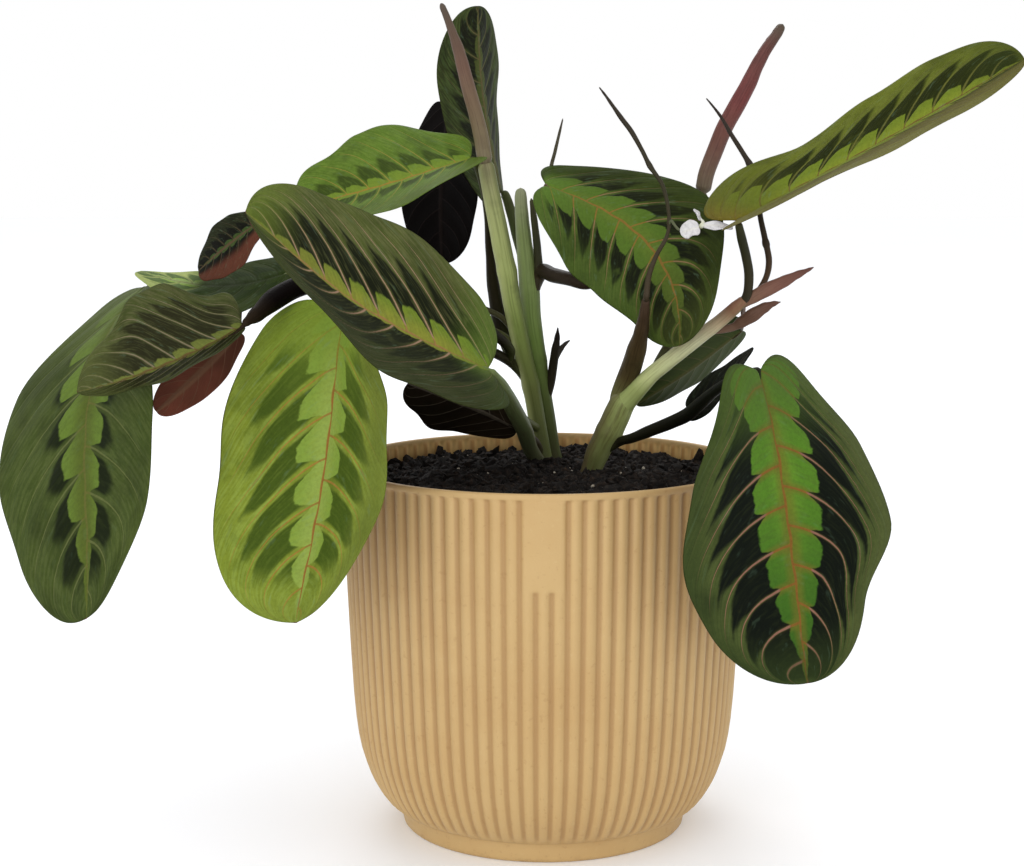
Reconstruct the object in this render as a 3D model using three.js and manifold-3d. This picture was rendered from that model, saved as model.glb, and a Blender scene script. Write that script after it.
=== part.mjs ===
// A prayer plant in a ribbed pot. Millimetres, +Z up, the pot stands on z = 0 around the origin.
// The blades, the stalks, the soil and the pot are separate solids with a small gap wherever two meet.
import * as THREE from 'three';
import { mergeVertices } from 'three/addons/utils/BufferGeometryUtils.js';
import Module from 'manifold-3d';

const wasm = await Module();
wasm.setup();

// ---- pot -------------------------------------------------------------------
const POT_HEIGHT = 129;
const FLUTES = 84;            // ribs around the pot
const FLUTE_DEPTH = 1.1;      // crest to groove
const WALL = 3.0;             // crest to the smooth inside
const FLOOR = 4.0;
const PANEL_HALF = 0.098;     // half angle of the plain field at the front, radians
const PANEL_BOTTOM = 97;
// height, crest radius, share of the flute depth there
const OUTER = [
  [0, 49.8, 0], [7.2, 51.0, 0], [8.2, 54.3, 0.8], [12, 57.9, 1], [20, 62.1, 1],
  [30, 65.3, 1], [48, 67.3, 1], [96, 69.7, 1], [98.5, 69.8, 1], [126.6, 70.4, 1], [127.2, 70.5, 0], [129, 70.4, 0],
];
const INNER = [[129, 68.1], [60, 65.2], [28, 61.6], [FLOOR, 46.0]];

// ---- soil ------------------------------------------------------------------
const SOIL_TOP = 122.4;
const SOIL_CROWN = 1.0;       // the soil rises a little towards the stems
const GAP = 0.3;

// ---- blades ----------------------------------------------------------------
const BLADE = 0.8;            // thickness of a blade solid
const STEPS = 60;             // steps along a midrib
const ROWS = 10;              // cross sections of a blade
const COLUMNS = [-1, -0.55, 0, 0.55, 1];
const KNOTS = [0, 0.12, 0.32, 0.55, 0.78, 1];
// base point, heading and rise of the midrib, roll of the upper face, length, half width,
// droop along the midrib, sideways bend, twist, fold and curl of the right and the left half,
// width factors of both halves at six knots, and how far the base lobes reach back
const LEAVES = {
  leaf_right_hanging: { base: [67.2, -71, 168.4], yaw: -0.523, pitch: -1.227, roll: 0.113, length: 101.8, half: 35.5,
    droop: [0.822, 0.213, 0.122], side: -0.029, twist: 0.933, fold: [0.117, 0.106], curl: [-0.247, -0.308],
    right: [-0.03, -0.11, 0.07, 0.11, 0.05, 0.04], left: [-0.02, -0.05, 0.11, 0.12, -0.2, -0.18], lobe: 0.5 },
  leaf_front_left: { base: [-66.2, -37.2, 182.9], yaw: -2.28, pitch: -1.314, roll: -0.035, length: 105.4, half: 38.2,
    droop: [0.654, -0.818, 0.208], side: -0.312, twist: -0.239, fold: [0.235, 0.396], curl: [-0.093, 0.027],
    right: [-0.04, 0.07, 0.1, 0.01, 0.06, 0.06], left: [-0.01, -0.17, -0, 0.04, 0.07, -0], lobe: 0.49 },
  leaf_far_left: { base: [-144.7, 27.6, 187.6], yaw: -2.139, pitch: -0.469, roll: 0.378, length: 136.1, half: 37.6,
    droop: [1.395, 0.962, -0.599], side: -0.224, twist: -0.06, fold: [0.061, -0.041], curl: [0, 0],
    right: [0, -0.22, 0.16, 0.09, 0, -0.05], left: [-0.6, -0.35, 0, 0.08, 0.2, -0.15], lobe: 0.5 },
  leaf_left_upper: { base: [-98.8, -42.1, 179.9], yaw: -2.711, pitch: -0.502, roll: -0.709, length: 58.5, half: 30.1,
    droop: [0.233, 0.095, 0.025], side: 0.543, twist: 0.147, fold: [0.029, -1.9], curl: [0, 0],
    right: [-0.01, -0.21, 0.1, 0.13, -0.12, -0.01], left: [-0.6, -0.6, -0.6, -0.6, -0.6, -0.6], lobe: 0.5 },
  leaf_left_turned: { base: [-109.1, 19.1, 172.2], yaw: -2.389, pitch: -0.692, roll: 1.781, length: 45.3, half: 8.2,
    droop: [0.211, 0.172, 0.226], side: -0.15, twist: 0.21, fold: [0.234, 0.204], curl: [0, -0],
    right: [-0.03, -0.09, 0.07, 0.05, -0.03, -0.01], left: [-0.01, -0.05, -0.06, -0, 0.04, 0.02], lobe: 0.5 },
  leaf_left_pale: { base: [-91.6, 16, 193.5], yaw: -3.23, pitch: -0.3, roll: -0.448, length: 54.8, half: 23.8,
    droop: [-0.006, -0.891, 0.505], side: 0.109, twist: 0.422, fold: [-0.03, -0.03], curl: [0, -0],
    right: [0, 0.03, 0.03, -0.02, -0.04, 0.01], left: [-0, -0.05, 0.16, -0.15, -0, 0], lobe: 0.5 },
  leaf_left_small: { base: [-101, 5.2, 210.8], yaw: 2.91, pitch: -0.575, roll: -1.183, length: 30.4, half: 10.4,
    droop: [0.554, 0.352, 0.402], side: 0.124, twist: 0.196, fold: [0.01, 0.028], curl: [0, 0],
    right: [-0.03, -0.06, 0.02, 0.09, -0.05, -0.02], left: [-0.01, -0.13, 0.1, 0.06, -0.06, -0], lobe: 0.5 },
  leaf_centre_left: { base: [-18.5, -35.2, 165.1], yaw: -2.484, pitch: 0.415, roll: -0.902, length: 106.7, half: 34.5,
    droop: [0.556, -0.538, 0.413], side: 0.144, twist: 0.07, fold: [0.23, 0.266], curl: [-0, -0],
    right: [-0.09, 0.02, 0.14, 0.02, -0, 0], left: [-0, -0.02, -0.02, 0.07, -0.05, -0], lobe: 0.5 },
  leaf_top_left: { base: [-25.9, 13.1, 233.9], yaw: -2.875, pitch: -0.259, roll: -0.32, length: 63.3, half: 26.9,
    droop: [0.463, -0.111, 0.097], side: 0.146, twist: -0.386, fold: [0.211, 0.284], curl: [-0, 0],
    right: [-0.02, -0.09, 0.13, 0.04, -0.17, -0.02], left: [-0, -0.05, 0.03, 0.02, 0, 0], lobe: 0.5 },
  leaf_top_upright: { base: [-15.9, 50.6, 221.9], yaw: -2.331, pitch: 1.227, roll: -1.248, length: 67.8, half: 22,
    droop: [0.015, -0.148, 0.001], side: 0.27, twist: -0.454, fold: [-0.437, -0.058], curl: [-0, 0],
    right: [-0, -0, -0.02, 0.01, 0.02, -0.01], left: [0, 0, 0.01, 0.03, 0.05, -0.02], lobe: 0.5 },
  leaf_behind: { base: [-35.5, 62.2, 251.8], yaw: -3.018, pitch: -1.441, roll: 2.701, length: 57.8, half: 21.5,
    droop: [0.193, -0.213, 0.165], side: 0.167, twist: -0.382, fold: [-0.09, -0.036], curl: [-0, -0],
    right: [0, -0, -0.04, 0.03, 0, -0.01], left: [0.01, -0.02, 0.03, 0.03, 0.02, 0], lobe: 0.5 },
  leaf_low: { base: [-9.2, 22.9, 136.9], yaw: -2.565, pitch: 0.496, roll: 0.812, length: 51.5, half: 15.1,
    droop: [0.281, 0.165, 0.145], side: 0.083, twist: 0.339, fold: [0.213, 0.15], curl: [-0, -0],
    right: [-0, -0.07, -0.01, 0.12, -0.08, -0.02], left: [-0.8, -0.7, -0.5, -0.45, -0.45, -0.45], lobe: 0.5 },
  leaf_centre_right: { base: [0.5, 15.8, 224.6], yaw: 0.038, pitch: -0.335, roll: 0.176, length: 85.8, half: 27,
    droop: [0.027, 0.119, 0.189], side: 1.532, twist: 1.52, fold: [-0.267, 0.251], curl: [0, 0],
    right: [0.01, 0.08, 0.05, -0.06, -0.11, 0.06], left: [0.02, -0.11, -0.06, 0.01, -0.14, -0.01], lobe: 0.5 },
  leaf_right_long: { base: [64.6, -19.1, 213.5], yaw: 0.083, pitch: 0.496, roll: 0.309, length: 107.1, half: 25.5,
    droop: [-0.028, -0.219, -0.159], side: 0.232, twist: 0.247, fold: [0.383, 0.23], curl: [-0, 0],
    right: [0, 0.05, -0.09, -0.07, 0.05, 0.04], left: [0.02, 0.13, -0.26, -0.17, 0.02, 0.18], lobe: 1.1 },
  leaf_right_olive: { base: [70.4, 22.1, 172.8], yaw: -2.965, pitch: -0.649, roll: 0.765, length: 46.1, half: 14.9,
    droop: [0.197, -0.299, 0.047], side: 0.017, twist: 0.005, fold: [0.168, 0.15], curl: [0, 0],
    right: [-0, -0.03, 0.02, 0.02, 0.01, -0.02], left: [-0, -0, -0, -0, -0, -0], lobe: 0.5 },
  leaf_right_small: { base: [48.9, -21, 149.5], yaw: -0.777, pitch: 0.586, roll: 1.227, length: 36.3, half: 7.9,
    droop: [0.055, -0.248, 0.08], side: -0.118, twist: -0.62, fold: [0.041, 0.036], curl: [0, -0],
    right: [0, 0, 0.02, 0.01, -0.01, -0], left: [-0.01, 0.02, 0.05, -0.04, -0.03, -0], lobe: 0.5 },};

// ---- stalks ----------------------------------------------------------------
// x, y, z of the centre line and the radius there
const STALKS = {
  stem_left_front: [[0, 38, 119.5, 3.52], [-0.7, 38, 125.5, 3.33], [-2.6, 36, 138.4, 3.13], [-5, 34, 152, 3.11],
    [-7.9, 32, 163.9, 3.28], [-10.2, 30, 175, 3.35], [-12, 28, 184.2, 3.34], [-13.4, 26, 193.4, 3.41],
    [-15, 24, 201.4, 3.4], [-16.5, 22, 209.6, 3.29], [-17.9, 20, 216.8, 3.19], [-19.5, 19, 224.9, 3.01],
    [-21, 17, 233.3, 2.99]],
  rolled_leaf_left: [[-21.3, 17, 234.3, 2.9], [-22.5, 16, 241.7, 2.86], [-24.4, 14, 249.9, 2.76], [-26.5, 12, 257.5, 2.7],
    [-28.4, 11, 265, 2.52], [-30, 10, 271.1, 2.25], [-32, 8, 277.1, 1.64], [-33.7, 7, 281.8, 1.38],
    [-35, 6, 285.1, 1.2], [-35.7, 6, 286.7, 0.69]],
  stem_left_back: [[4.5, 44, 118.5, 3.36], [3, 44, 124.6, 3.26], [1.1, 42, 137.6, 3.24], [-1.1, 40, 151.3, 3.23],
    [-2.8, 38, 164.1, 3.21], [-4.5, 36, 175.3, 3.47], [-5.4, 34, 186.4, 3.73], [-6.5, 33, 196.6, 3.26],
    [-7.4, 32, 204.6, 2.8], [-8.1, 31, 212.5, 2.52], [-8.5, 30.5, 219, 2.25], [-8.6, 30, 223.3, 1.8]],
  petiole_centre_left: [[-4.4, 29, 127.6, 2.74], [-7.1, 14, 137.8, 3.04], [-10.8, -6, 148.3, 2.95], [-14.2, -24, 157.4, 2.53],
    [-17.5, -34, 163.3, 1.83]],
  petiole_top_left: [[-11.1, 38, 159.6, 1.65], [-13.7, 39, 165.8, 2.39], [-16, 39, 173.2, 2.94], [-18.4, 37, 186.1, 2.37],
    [-19.7, 33, 200.2, 1.63], [-20.3, 28, 213.7, 1.44], [-21.9, 24, 224.4, 1.42], [-24.8, 16, 233, 1.23]],
  petiole_top_upright: [[-6, 42, 182.1, 2.02], [-7.5, 46, 195.8, 2.03], [-10.1, 49, 205.6, 2.03], [-12.4, 51, 214, 1.85],
    [-14.6, 51, 220.3, 1.66]],
  petiole_behind: [[-6.4, 43, 169.5, 1.66], [-9.8, 49, 181.6, 1.67], [-15.5, 57, 195.2, 1.68], [-20.1, 63, 212.5, 1.5],
    [-25.8, 65, 229.3, 1.5], [-31.3, 64, 241.2, 1.31], [-34.6, 63, 245.6, 1.12]],
  petiole_front_left: [[-7.2, 21, 140.4, 1.8], [-9.9, 8, 145.8, 1.77], [-13.3, 0, 150.7, 1.75], [-18.8, -4, 155.7, 1.74],
    [-26.3, -7, 161.3, 1.73], [-33.8, -16, 167.4, 1.53], [-45, -26, 174.8, 1.51], [-56.1, -33, 180.4, 1.41],
    [-63.6, -37.5, 182.4, 1.32]],
  petiole_far_left: [[-11.3, 32, 159.5, 1.82], [-22.9, 17, 167.9, 1.78], [-40.4, 13, 180, 1.77], [-58.4, 17, 187.5, 1.78],
    [-76.6, 21, 191.1, 1.79], [-93.2, 25, 190.8, 1.62], [-111.4, 26, 188.6, 1.62], [-127.9, 27, 186, 1.44],
    [-139.7, 28, 185.2, 1.27]],
  petiole_left_upper: [[-12.3, 26, 165.2, 1.81], [-24.2, 4, 177.3, 1.92], [-39.2, -8, 185.8, 2.06], [-55.7, -16, 190.8, 2.2],
    [-72, -22, 193.3, 2.69], [-81.7, -26, 191.8, 3.51], [-89.4, -31, 187.9, 3.65], [-94.5, -38, 183.4, 2.63],
    [-97.4, -41.5, 181.1, 1.47]],
  petiole_left_pale: [[-15, 31, 169.8, 1.45], [-24, 30, 173.9, 1.45], [-37.6, 28, 183.1, 1.44], [-52, 27, 189.7, 1.44],
    [-66.3, 26, 194, 1.44], [-80.1, 21, 195, 1.43], [-90, 17, 194.2, 1.24]],
  petiole_left_small: [[-15.3, 30, 176.5, 1.09], [-23.9, 28, 181.3, 1.08], [-35.7, 26, 192.3, 1.08], [-51.3, 18, 200.9, 1.07],
    [-68.4, 12, 205.4, 1.06], [-85.5, 8, 208.4, 0.87], [-98.9, 6, 210.6, 0.7]],
  petiole_left_turned: [[-109.4, 24, 186.9, 0.9], [-109.2, 22, 181.7, 0.9], [-109.2, 20.3, 176.5, 0.81], [-109.3, 19.6, 173.3, 0.72]],
  petiole_low: [[-3.6, 30, 131.5, 1.64], [-6.2, 27, 133.4, 1.46], [-9, 23.5, 136.1, 1.09]],
  petiole_centre_right: [[-1.2, 32, 193, 2.72], [3.1, 24, 192.4, 2.69], [9.1, 15, 191.6, 2.48], [15.4, 11, 190.5, 2.29],
    [20.6, 11, 194, 1.93], [20.6, 13, 202.6, 1.58], [16.1, 18, 211.6, 1.41], [9.8, 22.5, 219.2, 1.42],
    [3.4, 20.6, 223.8, 1.06]],
  stem_right: [[15.4, 10, 119, 3.56], [17.1, 10, 124.7, 3.74], [19.5, 9, 131.4, 4.26], [23, 8, 138, 4.69],
    [25.4, 7.5, 143.4, 4.77], [27.5, 7, 148.1, 4.58], [29.6, 6.5, 151.7, 4.05]],
  stem_right_brown: [[26.8, 9, 151.4, 3.18], [29.8, 6, 158.9, 3.69], [31.8, -3, 167.5, 3.46], [33.1, -11, 174.9, 2.56],
    [33.8, -17, 181.5, 1.86], [34.2, -20.5, 187.5, 1.35]],
  petiole_right_pale: [[31.3, 5, 150.8, 3.51], [35, 3, 154.6, 3.41], [39.7, 0, 159.9, 3.13], [45.3, -3, 165.6, 2.86],
    [51, -5, 170.2, 2.67], [56, -7, 174.5, 2.49], [60.9, -9, 179.2, 2.31], [64.7, -11, 183.1, 2.22],
    [67.3, -12, 185.6, 1.87]],
  flower_stalk: [[34.3, -21.5, 188.3, 1.09], [35.3, -18, 195.1, 0.93], [38.1, -15, 202, 0.76], [41.2, -13, 207.3, 0.68],
    [42.3, -11, 211.3, 0.64], [42, -8, 217.6, 0.65], [40.1, -4, 225.3, 0.72], [36.1, -1, 231.4, 0.77],
    [33.4, 1, 236.8, 0.77], [29.7, 3, 243.3, 0.89], [26.6, 4, 247.4, 0.86], [23.2, 5, 252.2, 0.62],
    [20.8, 6, 255.6, 0.45], [18.7, 6, 258.3, 0.24]],
  thin_bract_right: [[70.9, -10, 187.2, 0.85], [75.4, -8, 192.8, 1.03], [77, -5, 198.8, 1.11], [75.7, -3, 206.6, 1.03],
    [74.1, -1, 214.7, 0.95], [73.8, 4, 223.8, 0.95], [71.4, 6, 231, 0.95], [68, 7, 236.8, 0.87],
    [64.5, 8, 242.3, 0.78], [61.1, 9, 248.1, 0.55], [57.9, 9, 252.2, 0.38], [55.9, 10, 254.6, 0.23]],
  petiole_right_long: [[68.6, -12.5, 187.3, 1.53], [69.3, -14, 194.6, 1.61], [68, -16, 201.4, 1.6], [66.4, -18, 206.9, 1.6],
    [65.2, -19, 211.6, 1.34]],
  thin_bract_centre: [[2.3, 30, 229.7, 0.72], [3.7, 29, 236.1, 0.64], [5.1, 28, 242.1, 0.53], [6.5, 27, 248, 0.27]],
  rolled_leaf_right: [[56.2, 22, 223.8, 3.01], [57.2, 22, 228.7, 3.1], [60.2, 22, 236.8, 3.18], [63.2, 21, 244.5, 3.26],
    [67.6, 20, 252.8, 3.34], [71.2, 19, 259.7, 3.15], [74.1, 18, 266.2, 2.71], [77.4, 17, 272, 2.27],
    [80.7, 16, 276.7, 1.91], [82.7, 16, 280.1, 1.56]],
  stalk_rolled_right: [[40.3, 0, 164.4, 1.74], [44.2, 3, 171.1, 1.74], [47.9, 8, 183, 1.75], [50.9, 13, 197.8, 1.76],
    [53.6, 18, 210.5, 1.94], [55.8, 22, 222.7, 2.31]],
  bract_right_upper: [[68.3, -12, 185.3, 1.53], [71.7, -12, 187.6, 2.21], [76.1, -12, 190, 2.38], [81.1, -12, 192.4, 2.04],
    [85.8, -12, 194.8, 1.36], [89.5, -12, 196.5, 0.68], [91.5, -12, 197.5, 0.2]],
  bract_right_lower: [[65, -5, 176.4, 1.38], [68, -6, 178.3, 2.06], [71.5, -8, 180.8, 2.4], [75.1, -9, 183.3, 1.88],
    [78.1, -10, 184.8, 1.02], [80.8, -10, 185.5, 0.2]],
  petiole_right_olive: [[67.6, -6, 183.8, 0.86], [69.2, 3, 180.6, 0.87], [70.1, 12, 176.7, 0.88], [70.3, 19, 174, 0.8]],
  petiole_right_hanging: [[26.5, 5, 134.8, 1.59], [30.7, -3, 137.4, 1.74], [36.4, -12, 141.2, 2.06], [42.8, -20, 145.1, 2.21],
    [47.9, -28, 148.9, 2.35], [51.5, -37, 153.7, 2.15], [55.6, -47, 159.3, 1.79], [60.1, -57, 164, 1.6],
    [64.4, -65, 167, 1.42], [66.7, -69.5, 168.2, 1.25]],
  petiole_right_small: [[48.1, -25.6, 148.9, 0.76], [48.4, -23.8, 149.3, 0.71], [48.6, -22.2, 149.6, 0.64]],
  twig_left: [[2.5, 39, 152.5, 1.66], [3.3, 38, 158.2, 1.65], [4.1, 37, 164.2, 1.56], [4.7, 36.5, 168.3, 1.1],
    [5, 36, 172.7, 0.27]],
  flower_pedicel: [[42.9, -11.5, 213, 0.51], [45.3, -12, 210.3, 0.44], [48.7, -12, 209.3, 0.44], [52.8, -12.8, 211.2, 0.41]],};
// every stalk keeps clear of the ones before it
const SIDES = { flower_stalk: 6, thin_bract_right: 6, thin_bract_centre: 6, twig_left: 6, petiole_left_small: 6, flower_pedicel: 6, petiole_left_turned: 6, petiole_right_olive: 6, petiole_right_small: 6 };

const PETALS = {
  flower_petal_left: { base: [52.2, -14.2, 211.0], yaw: 3.3, pitch: -0.25, roll: -1.2, length: 6.6, half: 3.2,
    droop: [0.5, 0.4, 0.3], side: 0, twist: 0.2, fold: [0.2, 0.1], curl: [0.3, 0.3],
    right: [0, 0, 0.05, 0, 0, 0], left: [0, 0, 0, 0, 0, 0], lobe: 0.1 },
  flower_petal_right: { base: [53.6, -14.0, 211.5], yaw: -0.1, pitch: 0.06, roll: 1.0, length: 10.2, half: 1.7,
    droop: [0.3, 0.4, 0.3], side: 0.1, twist: -0.2, fold: [0.1, 0.1], curl: [0.2, 0.2],
    right: [0, 0, 0, 0, 0, 0], left: [0, 0, 0.05, 0, 0, 0], lobe: 0.1 },
  flower_petal_upper: { base: [52.6, -12.4, 213.2], yaw: 2.3, pitch: 1.1, roll: 0.4, length: 4.6, half: 1.8,
    droop: [0.3, 0.3, 0.3], side: 0, twist: 0, fold: [0.15, 0.15], curl: [0.2, 0.2],
    right: [0, 0, 0, 0, 0, 0], left: [0, 0, 0, 0, 0, 0], lobe: 0.1 },
};

// ---- materials -------------------------------------------------------------
const std = (color, roughness) => new THREE.MeshStandardMaterial({ color, roughness, metalness: 0 });
const potClay = std(0xcfab75, 0.6), soilMat = std(0x241c18, 0.95);
const greenDark = std(0x39552d, 0.5), greenLime = std(0x86a33c, 0.5), greenMid = std(0x55762f, 0.5);
const underside = std(0x5e2a2b, 0.6), shade = std(0x231c1d, 0.6), stalkGreen = std(0x748a48, 0.5);
const stalkDark = std(0x4a4030, 0.6), bract = std(0x7c4a44, 0.6), petal = std(0xf1f0ee, 0.5);
const LOOK = {
  leaf_front_left: greenLime, leaf_top_left: greenMid, leaf_left_pale: greenMid, leaf_left_turned: underside,
  leaf_behind: shade, leaf_low: shade, leaf_left_small: shade, leaf_right_small: shade, leaf_right_olive: greenDark,
  rolled_leaf_right: bract, bract_right_upper: bract, bract_right_lower: bract, petiole_left_upper: shade,
  petiole_right_hanging: shade, petiole_centre_right: stalkDark, stem_right_brown: stalkDark,
  petiole_behind: stalkDark, petiole_top_left: stalkDark, twig_left: stalkDark, thin_bract_right: stalkDark,
  thin_bract_centre: stalkDark, flower_stalk: stalkDark, flower_pedicel: stalkDark, petiole_far_left: stalkDark, petiole_left_turned: stalkDark, petiole_right_olive: stalkDark,
  petiole_right_small: stalkDark, petiole_low: stalkDark,
};

// ---- helpers ---------------------------------------------------------------
const V = (a) => new THREE.Vector3(a[0], a[1], a[2]);

function closedGeometry(points, faces) {
  const g = new THREE.BufferGeometry();
  g.setAttribute('position', new THREE.Float32BufferAttribute(points.flat(), 3));
  g.setIndex(faces.flat());
  return g;
}

function toSolid(geometry) {
  const g = geometry.clone();
  g.deleteAttribute('normal'); g.deleteAttribute('uv');
  const m = mergeVertices(g, 1e-4);
  return new wasm.Manifold(new wasm.Mesh({
    numProp: 3,
    vertProperties: new Float32Array(m.attributes.position.array),
    triVerts: new Uint32Array(m.index.array),
  }));
}

function toGeometry(solid) {
  const mesh = solid.getMesh();
  const g = new THREE.BufferGeometry();
  g.setAttribute('position', new THREE.Float32BufferAttribute(mesh.vertProperties, 3));
  g.setIndex(Array.from(mesh.triVerts));
  return g;
}

const biggest = (solid) => solid.decompose().reduce((a, b) => (b.volume() > a.volume() ? b : a));

// ring surface: each ring is a list of points, both ends closed by a fan or a flat cap
function ringSolid(rings, capFirst, capLast) {
  const n = rings[0].length;
  const pts = rings.flat();
  const faces = [];
  for (let r = 0; r + 1 < rings.length; r++) {
    for (let i = 0; i < n; i++) {
      const j = (i + 1) % n, a = r * n + i, b = r * n + j, c = a + n, d = b + n;
      faces.push([a, b, d], [a, d, c]);
    }
  }
  const first = pts.length; pts.push(capFirst);
  const last = pts.length; pts.push(capLast);
  const off = (rings.length - 1) * n;
  for (let i = 0; i < n; i++) {
    const j = (i + 1) % n;
    faces.push([first, j, i], [last, off + i, off + j]);
  }
  return closedGeometry(pts, faces);
}

// ---- pot -------------------------------------------------------------------
function potGeometry() {
  const n = FLUTES * 2, rings = [];
  const ring = (z, radius, share) => {
    const out = [];
    for (let i = 0; i < n; i++) {
      const a = i / n * Math.PI * 2 - Math.PI / 2;
      let d = Math.abs(((a + Math.PI / 2 + Math.PI) % (2 * Math.PI)) - Math.PI);
      const plain = d < PANEL_HALF && z > PANEL_BOTTOM;
      const r = radius - (i % 2 === 1 && !plain ? FLUTE_DEPTH * share : 0);
      out.push([r * Math.cos(a), r * Math.sin(a), z]);
    }
    return out;
  };
  for (const [z, r, s] of OUTER) rings.push(ring(z, r, s));
  for (const [z, r] of INNER) rings.push(ring(z, r, 0));
  return ringSolid(rings, [0, 0, 0], [0, 0, FLOOR]);
}

// ---- soil ------------------------------------------------------------------
function soilGeometry() {
  const profile = [[0, FLOOR + GAP], [INNER[3][1] - 0.7, FLOOR + GAP], [INNER[2][1] - 0.8, INNER[2][0]],
    [INNER[1][1] - 0.8, INNER[1][0]], [66.8, SOIL_TOP - 0.6], [66.2, SOIL_TOP], [22, SOIL_TOP + SOIL_CROWN], [0, SOIL_TOP + SOIL_CROWN]];
  const g = new THREE.LatheGeometry(profile.map(([r, z]) => new THREE.Vector2(r, z)), 40);
  g.rotateX(Math.PI / 2);
  return g;
}

// ---- blades ----------------------------------------------------------------
function midrib(p) {
  const { yaw, pitch, roll } = p;
  let T = new THREE.Vector3(Math.cos(yaw) * Math.cos(pitch), Math.sin(yaw) * Math.cos(pitch), Math.sin(pitch));
  const N0 = new THREE.Vector3(-Math.cos(yaw) * Math.sin(pitch), -Math.sin(yaw) * Math.sin(pitch), Math.cos(pitch));
  const B0 = new THREE.Vector3().crossVectors(T, N0);
  let N = N0.clone().multiplyScalar(Math.cos(roll)).addScaledVector(B0, Math.sin(roll));
  let B = new THREE.Vector3().crossVectors(T, N);
  const P = V(p.base), out = [{ P: P.clone(), T: T.clone(), N: N.clone(), B: B.clone() }];
  const [b0, b1, b2] = p.droop;
  for (let i = 0; i < STEPS; i++) {
    const t = (i + 0.5) / STEPS;
    const b = b0 * (1 - t) * (1 - 2 * t) + b1 * 4 * t * (1 - t) + b2 * t * (2 * t - 1);
    const T2 = T.clone().applyAxisAngle(B, -b / STEPS), N2 = N.clone().applyAxisAngle(B, -b / STEPS);
    T = T2.clone().applyAxisAngle(N2, -p.side / STEPS); B = B.clone().applyAxisAngle(N2, -p.side / STEPS);
    N = N2.clone().applyAxisAngle(T, p.twist / STEPS); B = B.applyAxisAngle(T, p.twist / STEPS);
    T.normalize(); B.crossVectors(T, N).normalize(); N = new THREE.Vector3().crossVectors(B, T);
    P.addScaledVector(T, p.length / STEPS);
    out.push({ P: P.clone(), T: T.clone(), N: N.clone(), B: B.clone() });
  }
  return out;
}

function widthFactor(t, c) {
  let k = 0;
  while (k < 4 && t >= KNOTS[k + 1]) k++;
  const s = 0.5 - 0.5 * Math.cos(Math.PI * THREE.MathUtils.clamp((t - KNOTS[k]) / (KNOTS[k + 1] - KNOTS[k]), 0, 1));
  return 1 + c[k] * (1 - s) + c[k + 1] * s;
}

function bladeGeometry(p, thick = BLADE, rows = ROWS) {
  const line = midrib(p), top = [], bottom = [];
  for (let r = 0; r <= rows; r++) {
    const t = (1 - Math.cos(Math.PI * (0.012 + 0.976 * r / rows))) / 2;
    const x = t * STEPS, i = Math.min(Math.floor(x), STEPS - 1), f = x - i;
    const mix = (k) => line[i][k].clone().lerp(line[i + 1][k], f);
    const P = mix('P'), T = mix('T').normalize(), N = mix('N').normalize(), B = mix('B').normalize();
    const tt = Math.pow(t, 0.86), w0 = p.half * Math.pow(4 * tt * (1 - tt) + 1e-9, 0.46);
    for (const u of COLUMNS) {
      const q = Math.abs(u), s = u >= 0 ? 1 : -1;
      const w = w0 * widthFactor(t, u >= 0 ? p.right : p.left);
      const fo = u >= 0 ? p.fold[0] : p.fold[1], cu = u >= 0 ? p.curl[0] : p.curl[1];
      const flat = Math.abs(cu) < 1e-4;
      const a = flat ? q * Math.cos(fo) : (Math.sin(fo + cu * q) - Math.sin(fo)) / cu;
      const b = flat ? q * Math.sin(fo) : (Math.cos(fo) - Math.cos(fo + cu * q)) / cu;
      const g = P.clone().addScaledVector(B, s * a * w).addScaledVector(N, b * w).addScaledVector(T, -p.lobe * w * q * Math.pow(1 - t, 7));
      const ang = q === 0 ? 0 : fo + cu * q;
      const n = N.clone().multiplyScalar(Math.cos(ang)).addScaledVector(B, -s * Math.sin(ang)).normalize();
      top.push(g.clone().addScaledVector(n, thick / 2).toArray());
      bottom.push(g.clone().addScaledVector(n, -thick / 2).toArray());
    }
  }
  const m = COLUMNS.length, faces = [], off = top.length;
  const id = (r, c) => r * m + c;
  for (let r = 0; r < rows; r++) {
    for (let c = 0; c + 1 < m; c++) {
      const a = id(r, c), b = id(r, c + 1), d = id(r + 1, c), e = id(r + 1, c + 1);
      faces.push([a, b, e], [a, e, d], [off + a, off + e, off + b], [off + a, off + d, off + e]);
    }
    const l0 = id(r, 0), l1 = id(r + 1, 0), r0 = id(r, m - 1), r1 = id(r + 1, m - 1);
    faces.push([l0, l1, off + l1], [l0, off + l1, off + l0], [r0, off + r1, r1], [r0, off + r0, off + r1]);
  }
  for (let c = 0; c + 1 < m; c++) {
    const a = id(0, c), b = id(0, c + 1), d = id(rows, c), e = id(rows, c + 1);
    faces.push([a, off + b, b], [a, off + a, off + b], [d, e, off + e], [d, off + e, off + d]);
  }
  return closedGeometry([...top, ...bottom], faces);
}

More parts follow.
